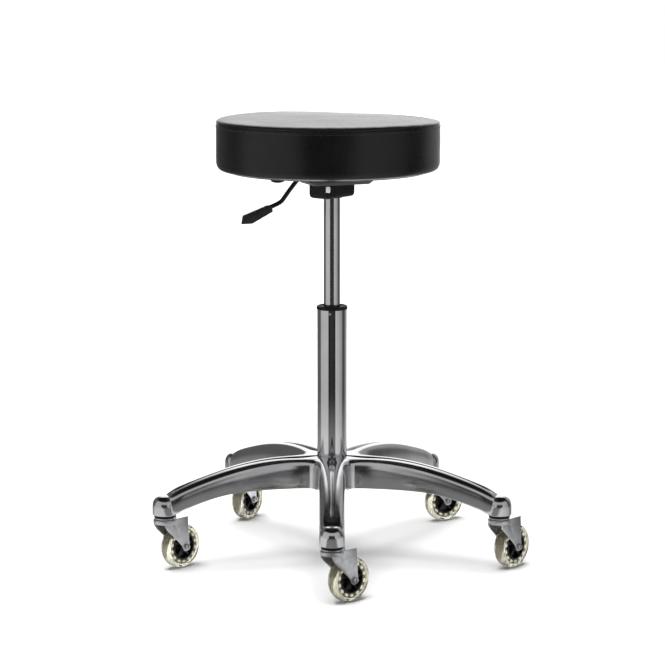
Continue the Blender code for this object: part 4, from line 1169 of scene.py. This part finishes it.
@dataclass
class Seat:
    """The round cushion in its leatherette cover, with seam, stitches, dust cloth and staples."""

    around: int = 160
    radius: float = 0.1858
    crest: float = 0.7478
    seam: float = 0.7406
    cloth_cap: float = 0.0028
    cloth_pressure: float = 4.0
    cloth_frames: int = 20

    def __post_init__(self) -> None:
        """Takes the cushion's centre from the CAD cover."""
        self.centre = middle("seat_cover_top")
        self.centre.z = 0

    def slump(self, angle: float) -> float:
        """How far the crest has settled in one direction, in metres.

        Args:
            angle: Direction from the cushion's centre, in radians.

        Returns:
            The drop, greatest towards the back right.
        """
        way = (angle - radians(42) + pi) % tau - pi
        return 0.0066 * exp(-(abs(way) / radians(62)) ** 3)

    def rows(self) -> list[tuple[float, float, float, bool]]:
        """Radius, height, share of the slump, and whether the cloth is held there, from top to lip."""
        crest, seam, side = self.crest, self.seam, self.radius
        rows = [(r, crest - 0.0008, (r / 0.175) ** 3 * 0.9, False) for r in (0.004, 0.02, 0.04, 0.06, 0.08, 0.1, 0.12,
                                                                       0.138, 0.152)]
        rows += [
            (0.1640, crest - 0.0002, 0.88, False), (0.1725, crest, 1.0, False), (0.1780, crest - 0.0003, 1.0, False),
            (0.1818, crest - 0.0012, 0.9, False), (0.1844, crest - 0.0030, 0.6, False),
            (0.1856, crest - 0.0051, 0.3, True), (0.1857, seam + 0.0010, 0.05, True),
            (0.1852, seam + 0.0003, 0.0, True),
            (0.1837, seam, 0.0, True), (0.1849, seam - 0.0005, 0.0, True), (0.1855, seam - 0.0022, 0.0, True),
        ]
        rows += [(side, z, 0.0, False) for z in (0.7330, 0.7260, 0.7180, 0.7090, 0.7000, 0.6910, 0.6830, 0.6765)]
        rows += [
            (0.1852, 0.6718, 0.0, False), (0.1834, 0.6672, 0.0, True), (0.1804, 0.6642, 0.0, True),
            (0.1760, 0.6626, 0.0, True), (0.1712, 0.6620, 0.0, True), (0.1676, 0.6615, 0.0, True),
            (0.1668, 0.6602, 0.0, True), (0.1652, 0.6594, 0.0, True), (0.1580, 0.6594, 0.0, True),
            (0.1505, 0.6596, 0.0, True), (0.1503, 0.6606, 0.0, True),
            (0.1664, 0.6607, 0.0, True), (0.1664, 0.6733, 0.0, True), (0.120, 0.6733, 0.0, True),
            (0.004, 0.6733, 0.0, True),
        ]
        return rows

    def pucker(self, angle: float, height: float) -> float:
        """Small gathers of the cover below and above the seam, in metres outwards.

        Args:
            angle: Direction from the centre.
            height: Height on the cover.

        Returns:
            The radial change.
        """
        near = exp(-((height - self.seam) / 0.0045) ** 2)
        ends = 0.35 + 0.65 * max(0.0, abs(cos(angle))) ** 6
        folds = noise.noise(Vector((cos(angle) * 26, sin(angle) * 26, 3.1))) * 0.0011
        drag_middle, drag_size = radians(-38), radians(26)
        drag = exp(-((((angle - drag_middle + pi) % tau) - pi) / drag_size) ** 2)
        ripple = sin((self.seam - height) / 0.0042 * pi) * exp(-((self.seam - 0.006 - height) / 0.006) ** 2)
        slow = noise.noise(Vector((cos(angle) * 2.2, sin(angle) * 2.2, height * 24))) * 0.0009
        inside = 1.0 if 0.664 < height < self.crest - 0.0006 else 0.0
        return inside * (folds * near * ends + ripple * drag * 0.00035 + slow)

    def cover(self) -> bpy.types.Mesh:
        """The cushion before its cloth pass."""
        bm = bmesh.new()
        rings = []
        for out, height, share, _ in self.rows():
            ring = []
            for i in range(self.around):
                angle = tau * i / self.around
                reach = out + (self.pucker(angle, height) if out > 0.17 else 0.0)
                drop = self.slump(angle) * share
                ring.append(bm.verts.new((reach * cos(angle), reach * sin(angle), height - drop)))
            rings.append(ring)
        for ring, following in zip(rings, rings[1:]):
            bridged(bm, ring, following)
        bm.faces.new(rings[0])
        bm.faces.new(rings[-1])
        return finished(bm, "cushion", 180.0)

    def inflated(self, mesh: bpy.types.Mesh) -> bpy.types.Mesh:
        """Lets cloth under pressure round the panels between their seams.

        Args:
            mesh: The cushion as sewn.

        Returns:
            A mesh with the same faces, moved by no more than the cap.
        """
        rest = [vert.co.copy() for vert in mesh.vertices]
        piece = bpy.data.objects.new("cushion_cloth", mesh)
        scene = bpy.context.scene
        scene.collection.objects.link(piece)
        held = piece.vertex_groups.new(name="held")
        for number, row in enumerate(self.rows()):
            if row[3]:
                held.add(list(range(number * self.around, (number + 1) * self.around)), 1.0, "REPLACE")
        cloth = piece.modifiers.new("cloth", "CLOTH")
        cloth.settings.vertex_group_mass = "held"
        cloth.settings.use_pressure = True
        cloth.settings.uniform_pressure_force = self.cloth_pressure
        cloth.settings.effector_weights.gravity = 0.0
        cloth.settings.tension_stiffness = cloth.settings.compression_stiffness = 40.0
        cloth.settings.bending_stiffness = 2.0
        cloth.settings.quality = 5
        cloth.collision_settings.use_collision = False
        for number in range(1, self.cloth_frames + 1):
            scene.frame_set(number)
        shaped = piece.evaluated_get(bpy.context.evaluated_depsgraph_get()).to_mesh()
        shifts = [after.co - before for after, before in zip(shaped.vertices, rest)]
        far = max(shift.length for shift in shifts)
        LOG.info("cloth pass moved the cover by up to %.1f mm", far / MM)
        scale = min(1.0, self.cloth_cap / far) if far > 0 else 1.0
        settled = [before + shift * scale for before, shift in zip(rest, shifts)]
        scene.frame_set(1)
        bpy.data.objects.remove(piece, do_unlink=True)
        for vert, place in zip(mesh.vertices, settled):
            vert.co = place
        return mesh

    def surface(self, mesh: bpy.types.Mesh, row: int) -> list[Vector]:
        """Points of one ring of the cover."""
        return [mesh.vertices[row * self.around + i].co.copy() for i in range(self.around)]

    def stitches(self, ring: Sequence[Vector], pitch: float = 0.0042) -> bpy.types.Mesh:
        """A run of lock stitches along a ring.

        Args:
            ring: Points round the cover.
            pitch: Length of one stitch with its gap.

        Returns:
            One mesh with every stitch.
        """
        lengths = [(b - a).length for a, b in zip(ring, ring[1:] + ring[:1])]
        total = sum(lengths)
        count = round(total / pitch)
        marks, run, i = [], 0.0, 0
        for number in range(count * 2):
            goal = total * (number // 2 + (0.14 if number % 2 == 0 else 0.86)) / count
            while run + lengths[i] < goal:
                run += lengths[i]
                i += 1
            marks.append(ring[i].lerp(ring[(i + 1) % len(ring)], (goal - run) / lengths[i]))
        bm = bmesh.new()
        sides, size = 6, 0.00042
        for a, b in zip(marks[::2], marks[1::2]):
            way = (b - a).normalized()
            out = Vector((a.x, a.y, 0)).normalized()
            up = way.cross(out).normalized()
            rings = []
            for share, lift, thick in ((0, -0.0004, 0.45), (0.2, 0.0001, 1.0), (0.5, 0.00025, 1.0),
                                       (0.8, 0.0001, 1.0), (1, -0.0004, 0.45)):
                centre = a.lerp(b, share) + out * lift
                rings.append([bm.verts.new(spot) for spot in circle(centre, out, up, size * thick, sides)])
            for near, far in zip(rings, rings[1:]):
                bridged(bm, near, far)
            bm.faces.new(rings[0])
            bm.faces.new(rings[-1])
        return finished(bm, "stitches", 60.0)

    def cushion(self) -> None:
        """The cushion, its seam bead and its stitches."""
        mesh = self.cover()
        mesh = self.inflated(mesh)
        at = Matrix.Translation(self.centre)
        rows = self.rows()
        groove = min(range(len(rows)), key=lambda i: abs(rows[i][1] - self.seam) + abs(rows[i][0] - 0.1837))
        seam_ring = self.surface(mesh, groove)
        stitch_ring = [
            a.lerp(b, 0.55) for a, b in zip(self.surface(mesh, groove + 2), self.surface(mesh, groove + 3))
        ]
        stitch_ring = [p + Vector((p.x, p.y, 0)).normalized() * 0.0001 for p in stitch_ring]
        smooth = subdivided(mesh, 2, 60.0)
        piece = publish("seat_cushion", smooth, LEATHERETTE, "seat", ["seat_foam", "seat_cover_top",
                                                                      "seat_cover_band"], at)
        publish("seam_stitches", self.stitches(stitch_ring), THREAD, "seat", at=at)
        publish("seam_bead", self.bead(seam_ring), LEATHERETTE, "seat", at=at)
        publish("band_joint", self.joint(mesh, groove), LEATHERETTE, "seat", at=at)

    def bead(self, ring: Sequence[Vector]) -> bpy.types.Mesh:
        """The thin folded edge that shows in the seam, as a closed ring."""
        bm = bmesh.new()
        sides, size = 8, 0.0004
        rings = []
        for point in ring:
            out = Vector((point.x, point.y, 0)).normalized()
            section = circle(point + out * 0.0003, out, Vector((0, 0, 1)), size, sides)
            rings.append([bm.verts.new(spot) for spot in section])
        for near, far in zip(rings, rings[1:] + rings[:1]):
            bridged(bm, near, far)
        return finished(bm, "seam_bead", 60.0)

    def joint(self, mesh: bpy.types.Mesh, groove: int) -> bpy.types.Mesh:
        """The upright join of the side band at the back: a narrow folded strip with rounded edges."""
        at_back = self.around // 4
        points = [mesh.vertices[row * self.around + at_back].co.copy() for row in range(groove + 2, groove + 14)]
        sections = []
        for point in points:
            out = Vector((point.x, point.y, 0)).normalized()
            side = Vector((-out.y, out.x, 0))
            profile = ((-0.0022, -0.0006), (-0.0020, 0.0003), (-0.0010, 0.0008), (0.0, 0.0003), (0.0010, 0.0008),
                       (0.0020, 0.0003), (0.0022, -0.0006))
            sections.append([point + side * s + out * lift for s, lift in profile])
        return skin("band_joint", sections, 60.0)

    def dust_cloth(self) -> None:
        """The cloth under the board, a little slack between its staples."""
        low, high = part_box("dust_cover")
        edge, around, staples = 0.149, 144, 24
        bm = bmesh.new()
        faces = []
        for top in (False, True):
            rings = []
            for out in (0.010, 0.05, 0.09, 0.12, 0.136, 0.143, 0.1465, edge):
                ring = []
                for i in range(around):
                    angle = tau * i / around
                    pull = 0.5 - 0.5 * cos(angle * staples)
                    sag = pull * 0.0006 * max(0.0, (out - 0.12) / 0.03) * (1.0 if out < edge else 0.4)
                    reach = out - (0.0012 * pull if out == edge else 0.0)
                    height = high.z - 0.00005 if top else low.z + 0.0006 - sag
                    ring.append(bm.verts.new((reach * cos(angle), reach * sin(angle), height)))
                rings.append(ring)
            faces.append(rings)
            for ring, following in zip(rings, rings[1:]):
                bridged(bm, ring, following)
            bm.faces.new(rings[0])
        bridged(bm, faces[0][-1], faces[1][-1])
        cloth = finished(bm, "dust_cloth", 60.0)
        at = Matrix.Translation(self.centre)
        publish("dust_cloth", cloth, DUST_CLOTH, "seat", ["dust_cover"], at)
        wires = []
        for number in range(staples):
            angle = tau * number / staples
            out = Vector((cos(angle), sin(angle), 0))
            side = Vector((-out.y, out.x, 0)) * 0.005
            base = out * 0.1440 + Vector((0, 0, low.z + 0.0004))
            down = Vector((0, 0, -0.0005))
            route = [base - side + Vector((0, 0, 0.0008)), base - side + down, base + side + down,
                     base + side + Vector((0, 0, 0.0008))]
            wires.append(swept("staple", route, 0.0003, 8, 0.0001))
        publish("dust_cloth_staples", gathered("dust_cloth_staples", wires), BRIGHT_STEEL, "seat", at=at)

    def build(self) -> None:
        """Builds the seat."""
        self.cushion()
        self.dust_cloth()


# ---------------------------------------------------------------- studio

@dataclass
class Studio:
    """Pale floor, soft light from above, light panels left and right, and the camera."""

    floor_size: float = 14.0
    lamp_power: float = 150.0

    # Direction round the stool in degrees, 0 towards the camera and positive to its right, with how
    # bright the room is there: two tall panels in front, dark gaps beside them, white behind.
    room: tuple = (
        (-180, 1.5), (-170, 1.5), (-160, 0.16), (-101, 0.14), (-90, 0.64), (-31, 0.66), (-25, 0.02), (-20, 0.012),
        (-14, 0.045), (10, 0.045), (17, 0.012), (23, 0.02), (29, 0.68), (55, 0.56), (80, 0.40), (90, 0.09),
        (112, 0.10), (122, 0.42), (158, 0.50), (170, 1.5), (180, 1.5),
    )

    def build(self) -> None:
        """Builds light, floor and camera."""
        self.world()
        self.floor()
        self.lamp()
        self.camera()
        bpy.context.scene.view_settings.view_transform = "Standard"

    def ramp(self, tree: bpy.types.NodeTree, source: bpy.types.NodeSocket,
             stops: Sequence[tuple[float, float]]) -> bpy.types.NodeSocket:
        """Grey levels along a value.

        Args:
            tree: The node tree.
            source: A value from 0 to 1.
            stops: Places and grey levels, in order.

        Returns:
            The ramp's colour.
        """
        node = add_node(tree, "ShaderNodeValToRGB", links={"Fac": source})
        marks = node.color_ramp.elements
        while len(marks) < len(stops):
            marks.new(0.5)
        for mark, (place, level) in zip(marks, stops):
            mark.position = place
            mark.color = (level, level, level, 1)
        return node.outputs["Color"]

    def round_about(self, tree: bpy.types.NodeTree, parts: bpy.types.Node) -> bpy.types.NodeSocket:
        """How bright the room is in the direction of a vector.

        Args:
            tree: The node tree.
            parts: A node whose X and Y outputs point that way.

        Returns:
            A grey level.
        """
        back = add_node(tree, "ShaderNodeMath", {"operation": "MULTIPLY"}, {1: -1.0}, {0: parts.outputs["Y"]})
        angle = add_node(tree, "ShaderNodeMath", {"operation": "ARCTAN2"},
                         links={0: parts.outputs["X"], 1: back.outputs[0]})
        turn = add_node(tree, "ShaderNodeMath", {"operation": "MULTIPLY_ADD"}, {1: 1 / tau, 2: 0.5},
                        {0: angle.outputs[0]})
        return self.ramp(tree, turn.outputs[0], [(place / 360 + 0.5, grey) for place, grey in self.room])

    def world(self) -> None:
        """The room's light by direction. The lens itself sees plain white."""
        room = bpy.data.worlds.new("studio")
        bpy.context.scene.world = room
        room.use_nodes = True
        tree = room.node_tree
        way = add_node(tree, "ShaderNodeTexCoord").outputs["Generated"]
        parts = add_node(tree, "ShaderNodeSeparateXYZ", links={0: way})
        level = self.round_about(tree, parts)
        rise = add_node(tree, "ShaderNodeMath", {"operation": "ARCSINE"}, links={0: parts.outputs["Z"]})
        height = add_node(tree, "ShaderNodeMath", {"operation": "MULTIPLY_ADD"}, {1: 1 / pi, 2: 0.5},
                          {0: rise.outputs[0]})
        frontal = add_node(tree, "ShaderNodeMath", {"operation": "MULTIPLY", "use_clamp": True}, {1: -2.5},
                           {0: parts.outputs["Y"]})
        raised = self.ramp(tree, height.outputs[0], [(0.0, 0), (0.58, 0), (0.63, 1), (0.74, 1), (0.79, 0)])
        panel = add_node(tree, "ShaderNodeMath", {"operation": "MULTIPLY"}, {},
                         {0: raised, 1: frontal.outputs[0]})
        overhead = self.ramp(tree, height.outputs[0], [(0.0, 0), (0.70, 0), (0.77, 1), (1.0, 1)])
        mixed = add_node(tree, "ShaderNodeMix", {"data_type": "RGBA"}, {7: (0.012, 0.012, 0.012, 1)},
                         {0: overhead, 6: level}).outputs[2]
        mixed = add_node(tree, "ShaderNodeMix", {"data_type": "RGBA"}, {7: (0.6, 0.6, 0.6, 1)},
                         {0: panel.outputs[0], 6: mixed}).outputs[2]
        lens = add_node(tree, "ShaderNodeLightPath").outputs["Is Camera Ray"]
        seen = add_node(tree, "ShaderNodeMix", {"data_type": "RGBA"}, {7: (1.0, 1.0, 1.0, 1)},
                        {0: lens, 6: mixed}).outputs[2]
        tree.links.new(seen, tree.nodes["Background"].inputs["Color"])

    def disc(self, name: str, height: float) -> tuple[bpy.types.Object, bpy.types.NodeTree, bpy.types.Node]:
        """A large staged disc with its own paint.

        Args:
            name: The disc's name.
            height: Its height.

        Returns:
            The disc, its paint's node tree and its object coordinates.
        """
        size = self.floor_size
        mesh = bpy.data.meshes.new(name)
        mesh.from_pydata([(size * cos(tau * i / 64), size * sin(tau * i / 64), 0) for i in range(64)], [],
                         [list(range(64))])
        plane = bpy.data.objects.new(name, mesh)
        plane.location.z = height
        bpy.context.scene.collection.objects.link(plane)
        paint = bpy.data.materials.new(f"{name}_paint")
        paint.use_nodes = True
        mesh.materials.append(paint)
        return plane, paint.node_tree, add_node(paint.node_tree, "ShaderNodeTexCoord")

    def floor(self) -> None:
        """A pale floor that brightens to white away from the stool, and the floor that chrome mirrors."""
        _, tree, place = self.disc("floor", -0.0002)
        bpy.data.objects["floor"].visible_glossy = False
        shader = tree.nodes["Principled BSDF"]
        shifted = add_node(tree, "ShaderNodeVectorMath", {"operation": "SUBTRACT"}, {1: (0, 0.15, 0)},
                           {0: place.outputs["Object"]})
        away = add_node(tree, "ShaderNodeVectorMath", {"operation": "LENGTH"}, links={0: shifted.outputs[0]})
        glow = add_node(tree, "ShaderNodeMapRange", {"interpolation_type": "SMOOTHSTEP"},
                        {"From Min": 0.75, "From Max": 1.5, "To Max": 1.05}, {"Value": away.outputs["Value"]})
        tree.links.new(glow.outputs["Result"], shader.inputs["Emission Strength"])
        shader.inputs["Emission Color"].default_value = (1, 1, 1, 1)
        shader.inputs["Base Color"].default_value = linear("#f4f4f4")
        shader.inputs["Roughness"].default_value = 0.9
        shader.inputs["Specular IOR Level"].default_value = 0.0

        mirrored, tree, place = self.disc("floor_mirrored", -0.0006)
        mirrored.visible_camera = mirrored.visible_diffuse = False
        mirrored.visible_transmission = mirrored.visible_shadow = False
        parts = add_node(tree, "ShaderNodeSeparateXYZ", links={0: place.outputs["Object"]})
        level = self.round_about(tree, parts)
        away = add_node(tree, "ShaderNodeVectorMath", {"operation": "LENGTH"}, links={0: place.outputs["Object"]})
        near = add_node(tree, "ShaderNodeMapRange", {"interpolation_type": "SMOOTHSTEP"},
                        {"From Min": 0.5, "From Max": 1.5, "To Min": 0.24, "To Max": 0.0},
                        {"Value": away.outputs["Value"]})
        total = add_node(tree, "ShaderNodeMath", {"operation": "ADD"}, {}, {0: level, 1: near.outputs["Result"]})
        glow = add_node(tree, "ShaderNodeEmission", {}, {}, {"Strength": total.outputs[0]})
        tree.links.new(glow.outputs[0], tree.nodes["Material Output"].inputs["Surface"])
        tree.nodes.remove(tree.nodes["Principled BSDF"])

    def lamp(self) -> None:
        """One wide soft lamp overhead, which chrome doesn't mirror."""
        light = bpy.data.lights.new("overhead", "AREA")
        light.shape, light.size, light.energy = "DISK", 2.6, self.lamp_power
        lamp = bpy.data.objects.new("overhead", light)
        bpy.context.scene.collection.objects.link(lamp)
        lamp.location = (-0.25, -0.2, 2.7)
        lamp.visible_camera = lamp.visible_glossy = False

    def camera(self) -> None:
        """A long lens a little above the seat, looking slightly down."""
        lens = bpy.data.cameras.new("camera")
        lens.lens, lens.sensor_width = 130.2, 36.0
        view = bpy.data.objects.new("camera", lens)
        bpy.context.scene.collection.objects.link(view)
        view.location = (0.0008, -3.9797, 1.0767)
        view.rotation_euler = (radians(80.26), 0, 0)
        bpy.context.scene.camera = view


def dress_cad_nodes() -> None:
    """Gives each CAD node that stays its finish."""
    for node, finish in CAD_FINISHES.items():
        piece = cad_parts[node]
        piece.data.materials.clear()
        piece.data.materials.append(finish.material())
        LOG.info("%s keeps its CAD shape in %s", node, finish.name)


def main() -> None:
    """Builds the stool piece by piece."""
    logging.basicConfig(level=logging.INFO, format="%(message)s", stream=sys.stdout)
    Studio().build()
    CastBase().build()
    for corner in CORNERS:
        Caster(corner).build()
    Column().build()
    Mechanism().build()
    Seat().build()
    dress_cad_nodes()


if __name__ == "__main__":
    main()
